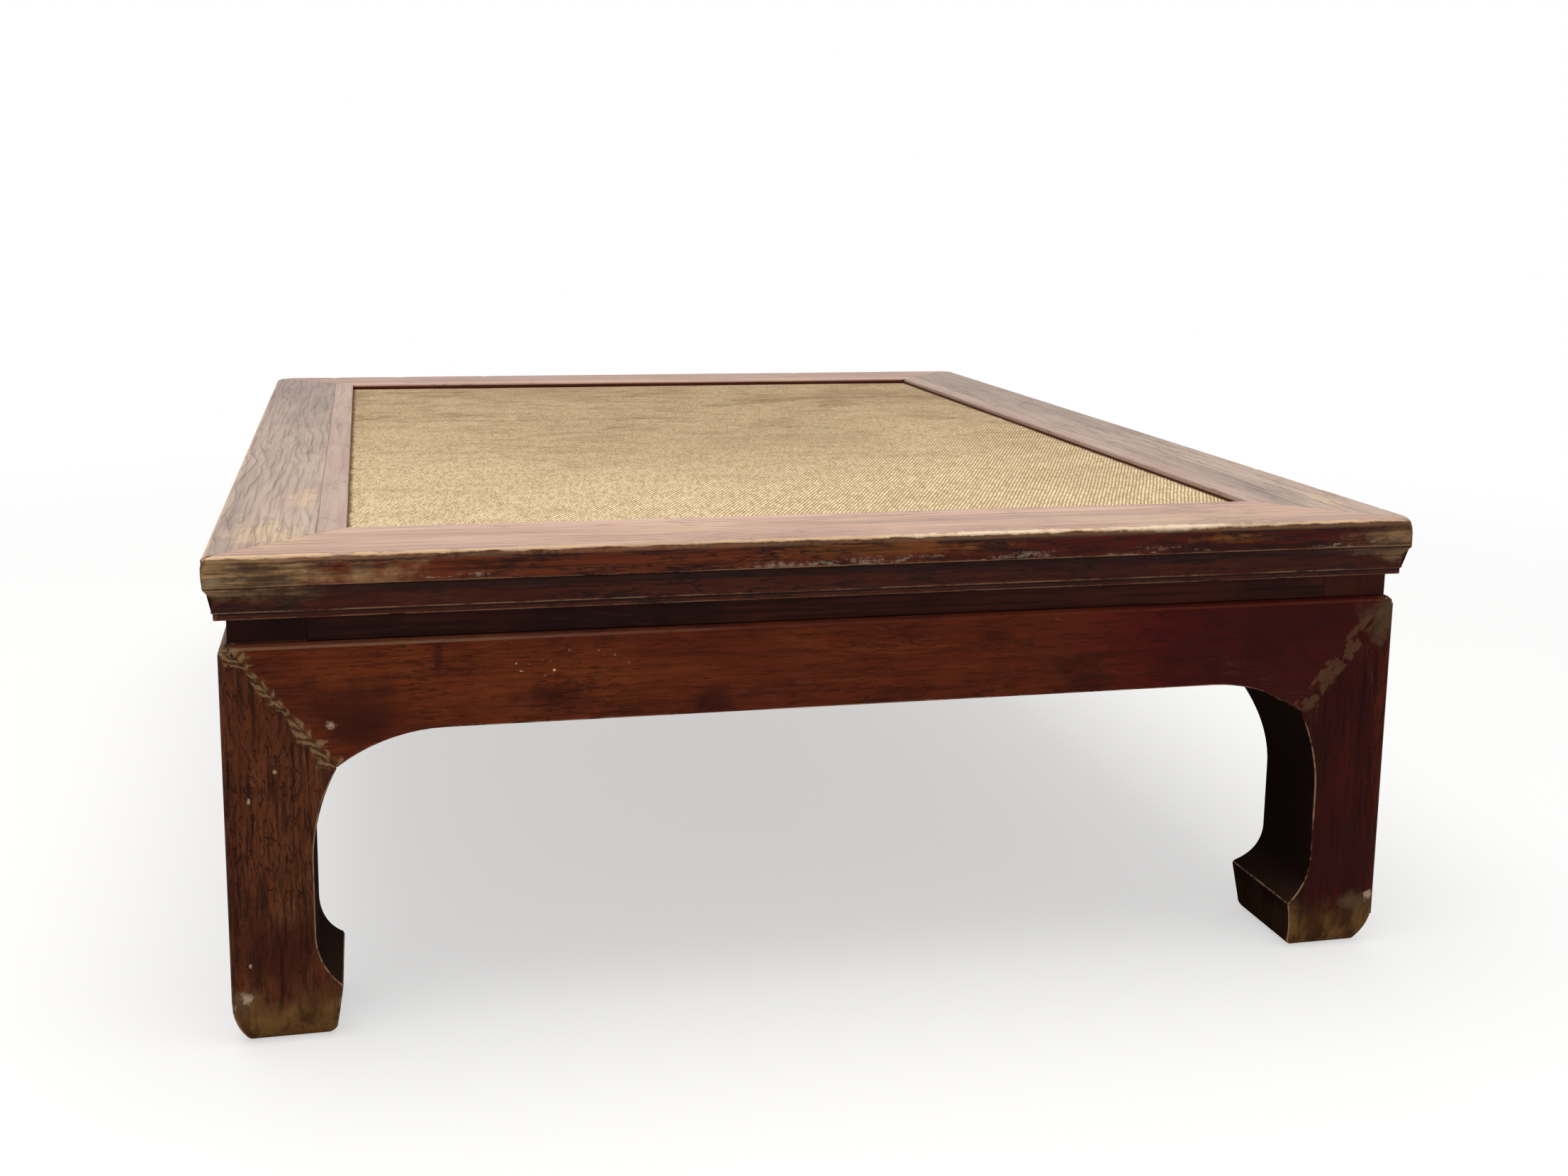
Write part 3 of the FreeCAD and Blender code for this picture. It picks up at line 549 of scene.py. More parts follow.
def lacquer(name, grain, look, marks=None):
    wear = lacquerWear
    material, w, shader = newMaterial(name, wear.specular)
    point, normal = w.point(), w.normal()
    x, z = w.split(point)[::2]
    upward = w.split(normal)[2]
    along = w.turned(point, angle=grainTurns[grain])
    wood = w.group(elmGrain, {"Vector": w.turned(along, scale=(look.short, 1, 1)), **look.grain})
    broad = w.noise(point, 7.0, 3.0, 0.6)
    streak = w.noise(along, (5 * look.short, 70, 70), 4.0, 0.65)
    far = w.scaled(w.minus(broad, 0.5), look.farRagged, x)
    share = w.rise(far, look.farFrom, look.farTo)
    light = w.mix(share, look.light, look.lightFar)
    colour = w.lay(w.mix(share, look.body, look.far),
                   (light, w.rise(streak, 0.48, 0.68), look.streak))
    if marks:
        colour = w.lay(colour, (light, spots(w, point, marks.glow), 0.6))
    colour = w.lay(colour, (look.dark, wood["Figure"], look.figure),
                   (look.dark, w.rise(wood["Fibre"], 0.45, 0.7), look.fibre))
    fissure = w.most(w.times(wood["Pores"], 0.6), w.times(wood["Cracks"], look.cracks))
    colour = w.mix(fissure, colour, look.dark)
    blotch = w.noise(along, (16, 34, 34), 5.0, 0.65)
    colour = w.lay(colour, (look.dark, w.rise(blotch, 0.5, 0.72), look.blotch))
    if marks:
        colour = w.lay(colour, (wear.shade, spots(w, point, marks.shade), 0.6))
    if marks and marks.specks:
        dots = w.rise(w.noise(point, 330.0, 1.0), 0.70, 0.74)
        colour = w.lay(colour, (wear.speck, dots, spots(w, point, marks.specks)))

    # pale line of painted reflection of the sky along the up-facing shoulder, greyish at the left and
    # redder to the right
    up = w.times(w.rise(upward, 0.38, 0.62), w.rise(z, *wear.shoulderFade))
    lip = w.rise(w.minus(edgeInset(w, point), legFace), *wear.lipFade)
    up = w.times(up, w.between(lip, 1.0, 0.15))
    rightward = w.rise(w.scaled(broad, 0.4, x), -0.1, 0.15)
    pale = w.mix(rightward, wear.shoulderLeft, wear.shoulderRight)

    rough = w.group(scuffs, {"Vector": along, "Amount": wear.scuffs})
    # faces that look to the middle of the table are darkened: their dark finish plus painted shade
    inside = w.group(inward, {"Vector": point, "Normal": normal})["Mask"]
    # painted highlight where the tops of the hooves face up
    ledge = w.times(w.rise(upward, 0.25, 0.7), w.rise(z, *wear.hoofFade))
    filler = w.group(mitreCrust, {"Vector": point, "Normal": normal})
    foot = w.group(footWear, {"Vector": point, "Level": look.footLevel})["Mask"]
    bare = w.mix(w.rise(streak, 0.4, 0.65), wear.foot, wear.footDark)
    colour = w.lay(colour, (wear.rubbed, rough["Mask"], look.scuff),
                   (pale, up, w.between(w.noise(point, 60.0, 3.0), 0.4, 0.9)),
                   (wear.inside, inside, w.between(streak, 0.96, 0.8)),
                   (wear.ledge, ledge, w.rise(broad, 0.35, 0.6)),
                   (wear.crust, filler["Crust"], 0.55),
                   (wear.smear, filler["Smear"], w.between(streak, 0.45, 0.95)),
                   (wear.joint, filler["Joint"], w.between(streak, 0.2, 0.8)),
                   (bare, foot, w.between(inside, 0.85, 0.1)))
    if marks:
        olive = spots(w, point, marks.olive)
        colour = w.lay(colour, (wear.olive, olive, w.between(streak, 0.2, 0.9)))
    post = waistTone(w, point, wood["Fibre"], 0.2)
    colour = w.mix(w.rise(z, *wear.postFade), colour, post)
    rub = w.times(rubbedEdges(w, point, wear.rub), w.flip(filler["Near"]))
    colour = w.lay(colour, (wear.rubbed, rub, 0.7))
    if marks:
        colour = w.lay(colour, (wear.speck, spots(w, point, marks.pale), 0.6))

    dull = w.most(rub, filler["Crust"], filler["Smear"], foot, w.times(rough["Mask"], 0.6))
    sheen = w.between(w.noise(point, 24.0), 0.3, 0.5)
    roughness = w.between(w.most(dull, inside), sheen, w.between(inside, 0.75, 1.0))
    height = w.plus(w.times(wood["Fibre"], -0.6), w.times(wood["Figure"], -0.5))
    height = w.minus(height, w.plus(w.times(rough["Dents"], 0.7), wood["Cracks"]))
    lumps = w.plus(w.most(filler["Crust"], filler["Smear"]), w.times(filler["Joint"], -1.5))
    height = w.scaled(lumps, w.noise(point, 190.0, 3.0), height)
    height = w.times(height, w.between(inside, 1.0, 0.25))
    finishLook(w, shader, wear, colour, roughness, height)
    return material


def darkWaist(name, grain):
    look = waistLook
    material, w, shader, point, along, wood = newWood(name, look, grain)
    rough = w.group(scuffs, {"Vector": along, "Amount": look.scuffs})
    colour = w.lay(waistTone(w, point, wood["Fibre"], 0.8), (look.rubbed, rough["Mask"], 0.12),
                   (look.rubbed, rubbedEdges(w, point, look.rub), 0.6))
    roughness = w.between(w.noise(point, 30.0), 0.4, 0.62)
    finishLook(w, shader, look, colour, roughness, w.plus(wood["Fibre"], wood["Figure"]))
    return material


railLook = Look(
    pale=tint(203, 170, 144),
    pink=tint(192, 156, 138),
    grey=tint(168, 140, 128),
    vein=tint(116, 84, 68),
    grain={"Rings": 230.0, "Waver": 8.0, "Thin": 4.0},
)
stileLook = Look(
    pale=tint(185, 163, 145),
    pink=tint(175, 149, 135),
    grey=tint(146, 128, 118),
    vein=tint(88, 68, 58),
    grain={"Rings": 210.0, "Waver": 7.0, "Thin": 5.0},
)
frameLook = Look(
    orange=tint(210, 178, 138),
    # painted highlight along the top's outer arris
    arris=tint(222, 186, 142),
    chip=tint(238, 214, 180),
    edge=tint(95, 41, 18),
    edgeRed=tint(69, 19, 11),
    edgeDark=tint(28, 12, 9),
    lower=tint(55, 20, 12),
    lowerLight=tint(76, 36, 22),
    olive=tint(164, 132, 92),
    oliveDark=tint(104, 80, 56),
    golden=tint(120, 72, 32),
    chalk=tint(128, 114, 98),
    line=tint(128, 96, 70),
    # heights on the moulded edge, each from nothing to full
    lowerZ=(0.3165, 0.3145),
    coveTopZ=(0.3155, 0.3148), coveFootZ=(0.3082, 0.3098),
    chalkFootZ=(0.3152, 0.3165), chalkTopZ=(0.3235, 0.3185),
    # height, half width, strength and tone of the lines along the mouldings; the edgeDark lines just
    # under the band and the strip are painted shade under their edges
    lines=((0.3159, 0.0008, 0.6, "line"), (0.3147, 0.0009, 0.8, "edgeDark"),
           (0.2981, 0.0008, 0.7, "line"), (0.2968, 0.0008, 0.85, "edgeDark"),
           (0.2936, 0.0006, 0.5, "line")),
    crackZ=topZ - 0.0050, topFade=(topZ - 0.0026, topZ - 0.0012),
    rub=0.62, rubFade=(topZ - 0.001, topZ - 0.004), rimFade=(0.0036, 0.0020),
    bump=(0.5, 0.0012), specular=0.08,
)
frameMarks = Look(
    orange=[((-0.392, -0.470, 0.336), (0.030, 0.050, 0.02), 2.6, 50.0),
            ((-0.372, -0.33, 0.336), (0.012, 0.05, 0.02), 2.6, 60.0),
            ((0.405, -0.46, 0.336), (0.010, 0.030, 0.02), 2.6, 60.0)],
    dull=[((-0.30, -0.50, 0.336), (0.12, 0.06, 0.05), 1.6, 24.0),
          ((-0.40, -0.25, 0.336), (0.05, 0.12, 0.05), 1.6, 24.0)],
    corner=[((-0.43, -0.545, 0.325), (0.12, 0.10, 0.018), 2.2, 34.0),
            ((0.415, -0.53, 0.321), (0.050, 0.05, 0.014), 2.4, 34.0),
            ((-0.405, 0.53, 0.322), (0.080, 0.10, 0.014), 2.2, 34.0),
            ((0.405, 0.53, 0.322), (0.08, 0.07, 0.014), 2.2, 34.0)],
    chips=[((0.235, -0.545, 0.3352), (0.060, 0.006, 0.0028), 2.2, 130.0),
           ((0.10, -0.545, 0.3352), (0.08, 0.006, 0.0018), 2.4, 130.0),
           ((-0.12, 0.545, 0.335), (0.09, 0.006, 0.002), 2.2, 130.0)],
    golden=[((0.285, -0.545, 0.326), (0.035, 0.02, 0.004), 2.2, 90.0),
            ((0.02, -0.545, 0.327), (0.09, 0.02, 0.006), 2.2, 60.0)],
)


def agedFrame(name, grain, wood):
    # bleached on top and paled further there by a painted sheen, lacquered and battered on its
    # moulded edge
    look, marks = Look(frameLook, **wood), frameMarks
    material, w, shader, point, along, rings = newWood(name, look, grain)
    x, y, z = w.split(point)
    broad = w.noise(point, 6.0, 3.0, 0.6)
    streak = w.noise(along, (2.5, 34, 34), 3.0)
    worn = w.noise(along, (5, 150, 150), 5.0, 0.7)
    figured = w.between(w.rise(x, -0.3, 0.1), 0.8, 0.4)
    # the top's pale tones hold a painted sheen besides the bleached wood
    bleachedAndSheen = w.lay(w.mix(w.rise(broad, 0.35, 0.65), look.pale, look.pink),
                     (look.grey, w.rise(streak, 0.45, 0.7), 0.8),
                     (look.grey, w.rise(y, -0.4, 0.4), 0.65),
                     (look.grey, spots(w, point, marks.dull), 0.3),
                     (look.orange, spots(w, point, marks.orange), 0.5),
                     (look.vein, rings["Figure"], figured),
                     (look.vein, w.rise(rings["Fibre"], 0.44, 0.72), 0.5),
                     (look.grey, w.rise(worn, 0.52, 0.66), 0.45),
                     (look.vein, rings["Cracks"], 0.3))

    redder = w.rise(w.scaled(broad, 0.6, x), 0.25, 0.5)
    mottle = w.noise(along, (22, 90, 90), 4.0, 0.65)
    lower = w.mix(w.rise(mottle, 0.45, 0.6), look.lower, look.lowerLight)
    corner = spots(w, point, marks.corner)
    bare = w.mix(w.rise(mottle, 0.42, 0.6), look.olive, look.oliveDark)
    # a crack that wanders along under the arris
    drift = w.wobble(along, (9, 9, 9), 5.0, 0.7)
    gape = w.size(w.scaled(drift, 0.012, w.minus(z, look.crackZ)))
    gape = w.times(w.rise(gape, 0.0011, 0.0003), w.rise(w.noise(along, 16.0), 0.42, 0.52))
    # painted shade in the cove, less towards the corners
    hollow = w.times(w.rise(z, *look.coveTopZ), w.rise(z, *look.coveFootZ))
    sizeX, sizeY = w.split(w.vector("ABSOLUTE", point))[:2]
    endward = w.most(w.minus(halfWide, sizeX), w.minus(halfLong, sizeY))
    endward = w.rise(w.scaled(w.minus(broad, 0.5), 0.2, endward), 0.15, 0.04)
    chalky = w.times(w.rise(w.noise(point, (16, 16, 90), 5.0, 0.75), 0.53, 0.58),
                     w.rise(w.noise(point, 160.0, 4.0, 0.75), 0.42, 0.58),
                     w.rise(z, *look.chalkFootZ), w.rise(z, *look.chalkTopZ))
    stained = w.lay(w.mix(redder, look.edge, look.edgeRed),
                    (look.golden, spots(w, point, marks.golden), 0.7),
                    (lower, w.rise(z, *look.lowerZ), 0.85),
                    (look.edgeDark, w.rise(mottle, 0.5, 0.64), 0.8),
                    (bare, corner, w.between(w.rise(x, -0.1, 0.1), 0.9, 0.6)),
                    (look.edgeDark, rings["Figure"], 0.7),
                    (look.edgeDark, w.rise(rings["Fibre"], 0.45, 0.7), 0.6),
                    (look.edgeDark, rings["Cracks"], 0.85), (look.edgeDark, gape, 0.9),
                    (look.edgeDark, hollow, w.between(endward, 0.7, 0.2)),
                    (look.chalk, chalky, 0.8))
    dash = w.rise(w.noise(along, (26, 26, 26), 4.0, 0.7), 0.42, 0.56)
    # the dark lines are painted shade under the steps of the moulding
    for level, wide, strength, shade in look.lines:
        thin = w.times(w.rise(w.size(w.minus(z, level)), wide, wide * 0.3), strength)
        if shade == "line":  # rubbed lines come and go
            thin = w.times(thin, dash)
        stained = w.mix(thin, stained, look[shade])

    grit = w.wobble(along, (60, 170, 170), 5.0, 0.7)
    topward = w.rise(w.scaled(grit, 0.0045, z), *look.topFade)
    rim = w.rise(w.scaled(grit, 0.006, edgeInset(w, point)), *look.rimFade)
    faded = w.between(w.rise(broad, 0.35, 0.6), 0.35, 0.85)
    rub = w.times(rubbedEdges(w, point, look.rub), w.rise(z, *look.rubFade))
    # the arris tone on the top's outer rim is a painted highlight
    colour = w.lay(w.mix(topward, stained, bleachedAndSheen), (look.arris, w.times(rim, topward), faded),
                   (look.chip, spots(w, point, marks.chips), 0.9), (look.line, rub, 0.7))
    roughness = w.between(topward, w.between(corner, 0.42, 0.7), 0.5)
    height = w.plus(w.times(rings["Fibre"], 0.6), w.times(rings["Figure"], -0.8))
    height = w.scaled(mottle, 0.6, w.minus(height, w.most(rings["Cracks"], gape)))
    finishLook(w, shader, look, colour, roughness, height)
    return material


battenLook = Look(
    x=Look(pale=tint(200, 166, 144), pink=tint(182, 148, 136), wallFrom=0.0012),
    y=Look(pale=tint(178, 154, 139), pink=tint(166, 139, 127), wallFrom=0.0027),
    line=tint(120, 90, 77), wall=tint(74, 32, 18), wallFade=0.0014,
    grain={"Rings": 190.0, "Waver": 4.0, "Thin": 4.0}, bump=(0.3, 0.0008), specular=0.08,
)


def pinkBatten(name, grain):
    # flat strips round the mat, still lacquered on the wall above it
    look = battenLook
    material, w, shader, point, along, wood = newWood(name, look, grain)
    streak = w.noise(along, (4, 60, 60), 4.0, 0.65)
    colour = w.lay(w.mix(w.rise(streak, 0.4, 0.62), look[grain].pale, look[grain].pink),
                   (look.line, wood["Figure"], 0.5),
                   (look.line, w.rise(wood["Fibre"], 0.5, 0.8), 0.4),
                   (look.line, wood["Cracks"], 0.6))
    wallZ = topZ - look[grain].wallFrom
    colour = w.mix(w.rise(w.split(point)[2], wallZ, wallZ - look.wallFade), colour, look.wall)
    roughness = w.between(w.noise(point, 26.0), 0.42, 0.58)
    finishLook(w, shader, look, colour, roughness, w.minus(wood["Fibre"], wood["Figure"]))
    return material


matLook = Look(
    straw=tint(203, 173, 129),
    light=tint(250, 228, 188),
    brown=tint(163, 136, 107),
    cross=tint(156, 127, 92),
    gap=tint(84, 60, 37),
    dirt=tint(100, 74, 48), dirtFade=(0.0042, 0.0008),
    bump=(0.8, 0.0006), specular=0.0,
    stains=[((-0.02, -0.05, 0.331), (0.24, 0.22, 0.1), 1.6, 12.0),
            ((0.24, 0.31, 0.331), (0.14, 0.10, 0.1), 1.8, 16.0),
            ((-0.10, 0.40, 0.331), (0.22, 0.08, 0.1), 1.8, 16.0)],
)


def wovenCane(name):
    look = matLook
    material, w, shader = newMaterial(name, look.specular)
    point = w.point()
    weave = w.group(twillWeave, {"Vector": point})
    colour = w.lay(w.mix(weave["Tone"], look.straw, look.light), (look.cross, weave["Cross"], 0.7))
    # browner towards the back as painted shade, with clouds and creases
    old = w.noise(point, 6.0, 5.0, 0.65)
    backShadeAndWear = w.rise(w.scaled(old, 0.5, w.split(point)[1]), -0.25, 0.6)
    blotch = w.noise(point, (20, 42, 1), 6.0, 0.75)
    cloud = w.times(w.rise(blotch, 0.42, 0.66), w.between(backShadeAndWear, 0.35, 0.7))
    fold = w.size(w.wobble(point, (7, 38, 1), 4.0, 0.65))
    crease = w.times(w.rise(fold, 0.035, 0.004), backShadeAndWear, w.rise(w.noise(point, 9.0), 0.48, 0.6))
    stain = w.plus(w.times(spots(w, point, look.stains), 0.16), w.times(backShadeAndWear, 0.5))
    colour = w.mix(w.scaled(cloud, 0.5, stain), colour, look.brown)
    # darker along the battens' inner edges
    border = edgeInset(w, point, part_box("mat_batten_right")[0].x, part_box("mat_batten_back")[0].y)
    border = w.scaled(w.wobble(point, 90.0, 3.0, 0.65), 0.008, border)
    colour = w.lay(colour, (look.dirt, crease, 0.55), (look.gap, weave["Gap"], 0.8),
                   (look.dirt, w.rise(border, *look.dirtFade), 0.8))
    roughness = w.between(weave["Tone"], 0.88, 0.72)
    finishLook(w, shader, look, colour, roughness, weave["Height"])
    return material


bareLook = Look(pale=tint(168, 128, 88), brown=tint(126, 90, 58), line=tint(88, 60, 38),
                grain={"Rings": 110.0, "Waver": 8.0}, bump=(0.5, 0.001), specular=0.25)


def bareWood(name, grain):
    # unfinished softwood under the top
    look = bareLook
    material, w, shader, point, _, wood = newWood(name, look, grain)
    broad = w.noise(point, 5.0, 3.0, 0.6)
    colour = w.lay(w.mix(w.rise(broad, 0.3, 0.7), look.pale, look.brown),
                   (look.line, wood["Figure"], 0.6),
                   (look.line, w.rise(wood["Fibre"], 0.5, 0.8), 0.4))
    roughness = w.between(wood["Fibre"], 0.65, 0.85)
    finishLook(w, shader, look, colour, roughness, w.minus(wood["Fibre"], wood["Figure"]))
    return material


# how wood is worn: arrises are rounded, cut across at steps, then pulled in unevenly and chipped
wearLimits = Look(sharp=math.radians(22), free=0.004, lift=0.0002, onMitre=0.0012,
                  mitreEnds=0.002, skin=0.0003, smooth=math.radians(38),
                  chipShift=Vector((7.3, 2.1, 4.7)))


def solidTree():
    # all the solids in one tree, to find which edges lie open
    bm = bmesh.new()
    for node in nodes.values():
        bm.from_mesh(node.data)
    tree = BVHTree.FromBMesh(bm)
    bm.free()
    return tree


def nodeCopy(name):
    bm = bmesh.new()
    bm.from_mesh(nodes[name].data)
    bmesh.ops.remove_doubles(bm, verts=bm.verts[:], dist=2e-6)
    bmesh.ops.dissolve_limit(bm, angle_limit=math.radians(0.4), verts=bm.verts[:],
                             edges=bm.edges[:], use_dissolve_boundaries=False)
    bm.normal_update()
    return bm


def insets(place):
    # distances in from the frame's outer edges
    return halfWide - abs(place.x), halfLong - abs(place.y)


def inset(place):
    return min(insets(place))


def onTop(place):
    return place.z > topZ - wearLimits.skin


def ease(part):
    return part * part * (3 - 2 * part)


def onMitre(place):
    # on the slanting joint between a leg and an apron
    ends = wearLimits.mitreEnds
    if place.z < cuspZ + ends or place.z > shoulderZ - ends:
        return False
    down = (shoulderZ - place.z) / (shoulderZ - cuspZ)
    start = mitre.shoulder
    offs = (side - (start + down * (mitre[cusp] - start))
            for side, cusp in zip(insets(place), ("cuspX", "cuspY")))
    return any(abs(off) < wearLimits.onMitre for off in offs)


def openArrises(bm, wanted):
    # sharp outward edges with nothing standing against them
    found = []
    for edge in bm.edges:
        if len(edge.link_faces) != 2 or edge.calc_face_angle_signed(0.0) < wearLimits.sharp:
            continue
        middle = (edge.verts[0].co + edge.verts[1].co) / 2
        if not wanted(middle) or onMitre(middle):
            continue
        outward = (edge.link_faces[0].normal + edge.link_faces[1].normal).normalized()
        start = middle + outward * wearLimits.lift
        if solids.ray_cast(start, outward, wearLimits.free)[0] is None:
            found.append(edge)
    return found


def roundArrises(bm, wanted, width):
    # rounds the open edges and marks their crests in the arris attribute
    crest = bm.verts.layers.float.new("arris")
    edges = openArrises(bm, wanted)
    made = bmesh.ops.bevel(bm, geom=edges, offset=width, offset_type="OFFSET", affect="EDGES",
                           segments=2, profile=0.5, clamp_overlap=False, material=-1)
    strip = set(made["faces"])
    for vert in made["verts"]:
        if vert.is_valid and all(face in strip for face in vert.link_faces):
            vert[crest] = 1.0
    return crest


def cut(bm, place, normal):
    bmesh.ops.bisect_plane(bm, geom=bm.verts[:] + bm.edges[:] + bm.faces[:], dist=1e-6,
                           plane_co=place, plane_no=normal)


def sliceAlong(bm, axis, step):
    # cross cuts at even steps, so that the edges can wander
    places = [vert.co.dot(axis) for vert in bm.verts]
    low, high = min(places), max(places)
    count = int((high - low) / step)
    for index in range(1, count):
        cut(bm, axis * (low + (high - low) * index / count), axis)
    bm.normal_update()


def wearDown(bm, crest, look):
    # crests pulled in unevenly, with a chip here and there
    for vert in bm.verts:
        if vert[crest] > 0.01:
            wander = 0.5 + 0.5 * noise.noise(vert.co * look.wave)
            rough = noise.noise(vert.co * look.chipWave + wearLimits.chipShift)
            chip = max(0.0, rough - look.chipLevel)
            deep = wander * look.wander + min(chip * look.chip, look.deepest)
            vert.co -= vert.normal * (vert[crest] * deep)


def finishPiece(bm, name, node, material):
    mesh = bpy.data.meshes.new(name)
    bm.to_mesh(mesh)
    bm.free()
    mesh.polygons.foreach_set("use_smooth", [True] * len(mesh.polygons))
    mesh.set_sharp_from_angle(angle=wearLimits.smooth)
    mesh.materials.append(material)
    piece = bpy.data.objects.new(name, mesh)
    scene.collection.objects.link(piece)
    even = piece.modifiers.new("evenShading", "WEIGHTED_NORMAL")
    even.keep_sharp = True
    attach(piece, "root")
    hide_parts(node)


frameWear = Look(
    slot="top_frame", face=0.0145, round=0.0006, step=0.006,
    wave=18.0, chipWave=55.0, chipLevel=0.38, wander=0.0004, chip=0.009,
    deepest=0.0024, stileChips=0.45,
    rimIn=0.006, rimDown=0.007, rimGain=1.4,
    # cuts that give the worn places enough points
    lines=(0.004, 0.010),
    drops=(0.002, 0.0045, 0.0075, 0.011),
    cornerCuts=(0.0008, 0.0018, 0.003, 0.0045, 0.0085, 0.011, 0.0135, 0.0165, 0.0205, 0.026,
                0.032),
    corner=0.005, backLeft=0.036,
    soft=0.0025, leastSoft=0.0005, reach=0.030,
    clips={"front_left": 0.004, "front_right": 0.010, "back_left": 0.008, "back_right": 0.010},
    clipEase=2.2,
    stripIn=0.0086, stripOut=0.0066, stripZ=0.2976, stripSlack=0.0006,
    coveZ=(0.3036, 0.3175), coveIn=0.0075, coveFace=0.0092,
    coveReach=(0.015, 0.070), coveFill=0.8,
)


def moveTo(place, sideX=None, sideY=None):
    # puts a point so far in from the outer edges
    if sideX is not None:
        place.x = math.copysign(halfWide - sideX, place.x)
    if sideY is not None:
        place.y = math.copysign(halfLong - sideY, place.y)


def roundedOff(first, second, radius):
    # two distances in from a right-angled edge, taken back to a round of this radius
    away = Vector((radius - first, radius - second))
    if first < radius and second < radius and away.length > radius:
        away *= radius / away.length
        return radius - away.x, radius - away.y
    return None


def rubCorner(place):
    # corners of the frame rubbed rounder than they were cut, in plan and along the arris
    look = frameWear
    sideX, sideY = insets(place)
    near = max(0.0, 1 - max(sideX, sideY) / look.reach)
    soft = look.soft * ease(near) + look.leastSoft
    rubbed = roundedOff(min(sideX, sideY), topZ - place.z, soft)
    if rubbed:
        if sideX < sideY:
            moveTo(place, sideX=rubbed[0])
        else:
            moveTo(place, sideY=rubbed[0])
        place.z = topZ - rubbed[1]
    radius = look.backLeft if place.x < 0 and place.y > 0 else look.corner
    rubbed = roundedOff(*insets(place), radius)
    if rubbed:
        moveTo(place, *rubbed)
    # the top of the corner knocked in along its diagonal
    end, hand = "front" if place.y < 0 else "back", "_left" if place.x < 0 else "_right"
    clip = look.clips[end + hand]
    diagonal = (sum(insets(place)) + topZ - place.z) / math.sqrt(3)
    if diagonal < clip:
        push = (clip - diagonal) ** 2 / (look.clipEase * clip) / math.sqrt(3)
        place.x -= math.copysign(push, place.x)
        place.y -= math.copysign(push, place.y)
        place.z -= push


def fillStrip(place):
    # strip under the lower band nearly flush with it, as old wax and wear leave it
    look = frameWear
    sideX, sideY = insets(place)
    if place.z < look.stripZ and min(sideX, sideY) > look.stripOut:
        fill, face = look.stripIn - look.stripOut, look.stripIn + look.stripSlack
        moveTo(place, sideX - fill if sideX < face else None, sideY - fill if sideY < face else None)


def fillCove(place):
    # towards the corners the hollow under the band is silted up and rubbed to a slope
    look = frameWear
    low, high = look.coveZ
    start, end = look.coveReach
    sideX, sideY = insets(place)
    near = min(1.0, max(0.0, (end - max(sideX, sideY)) / (end - start)))
    if near > 0 and low < place.z < high:
        fill = look.coveFill * ease(near)
        slope = look.coveIn * ease((high - place.z) / (high - low))
        if sideX < look.coveFace:
            moveTo(place, sideX=sideX + (slope - sideX) * fill)
        if sideY < look.coveFace:
            moveTo(place, sideY=sideY + (slope - sideY) * fill)


def frameEdges(place):
    return inset(place) < frameWear.face or onTop(place)


def wornFrameMember(node, axis, material):
    look = frameWear
    bm = nodeCopy(node)
    crest = roundArrises(bm, frameEdges, look.round)
    if axis is axisX:
        across, edge, ends, worn = axisY, halfLong, halfWide, 1
    else:
        across, edge, ends, worn = axisX, halfWide, halfLong, look.stileChips
    side = 1 if sum(vert.co.dot(across) for vert in bm.verts) > 0 else -1
    for line in look.lines:
        cut(bm, across * (side * (edge - line)), across)
    for drop in look.drops:
        cut(bm, axisZ * (topZ - drop), axisZ)
    sliceAlong(bm, axis, look.step)
    for place in look.cornerCuts:
        for end in (-1, 1):
            cut(bm, axis * (end * (ends - place)), axis)
    bm.normal_update()
    for vert in bm.verts:
        inward = max(0.0, 1 - inset(vert.co) / look.rimIn)
        rim = inward * max(0.0, 1 - (topZ - vert.co.z) / look.rimDown)
        vert[crest] = max(vert[crest], min(1.0, rim * look.rimGain)) * worn
    wearDown(bm, crest, look)
    for vert in bm.verts:
        fillCove(vert.co)
        rubCorner(vert.co)
        fillStrip(vert.co)
    finishPiece(bm, "worn_" + node, node, material)


def wornPiece(node, axis, material, look, wanted):
    bm = nodeCopy(node)
    crest = roundArrises(bm, wanted, look.round)
    sliceAlong(bm, axis, look.step)
    wearDown(bm, crest, look)
    finishPiece(bm, "worn_" + node, node, material)


battenWear = Look(slot="batten", round=0.0007, step=0.012, wave=30.0, chipWave=60.0,
                  chipLevel=0.4, wander=0.0003, chip=0.003, deepest=0.0008)
apronWear = Look(slot="lacquered_elm", round=0.0013, step=0.010, wave=38.0, chipWave=60.0,
                 chipLevel=0.3, wander=0.0005, chip=0.006, deepest=0.0015,
                 front=0.006, back=0.0215, backDrop=0.06)


def apronEdges(place):
    # all of the front, and the lower edge of the back
    look, deep = apronWear, inset(place) - legFace
    return deep < look.front or (deep > look.back and place.z < shoulderZ - look.backDrop)


waistWear = Look(slot="lacquered_elm", round=0.0005, step=0.014, wave=30.0, chipWave=60.0,
                 chipLevel=0.4, wander=0.0003, chip=0.003, deepest=0.0006, front=0.0065)


def waistEdges(place):
    return inset(place) < legFace + waistWear.front


legWear = Look(slot="lacquered_elm", round=0.0014, step=0.008, wave=42.0, chipWave=65.0,
               chipLevel=0.3, wander=0.0006, chip=0.007, deepest=0.0018,
               front=0.0045, slack=0.0005)


def legEdges(place):
    # every side under the apron, and the outer faces beside it
    look = legWear
    outside = inset(place) < legFace + look.front and place.z < shoulderZ + look.slack
    return place.z < cuspZ + look.slack or outside


matShape = Look(cells=(60, 80), wave=5.5, swell=0.0003, low=0.0005, thick=0.0016)


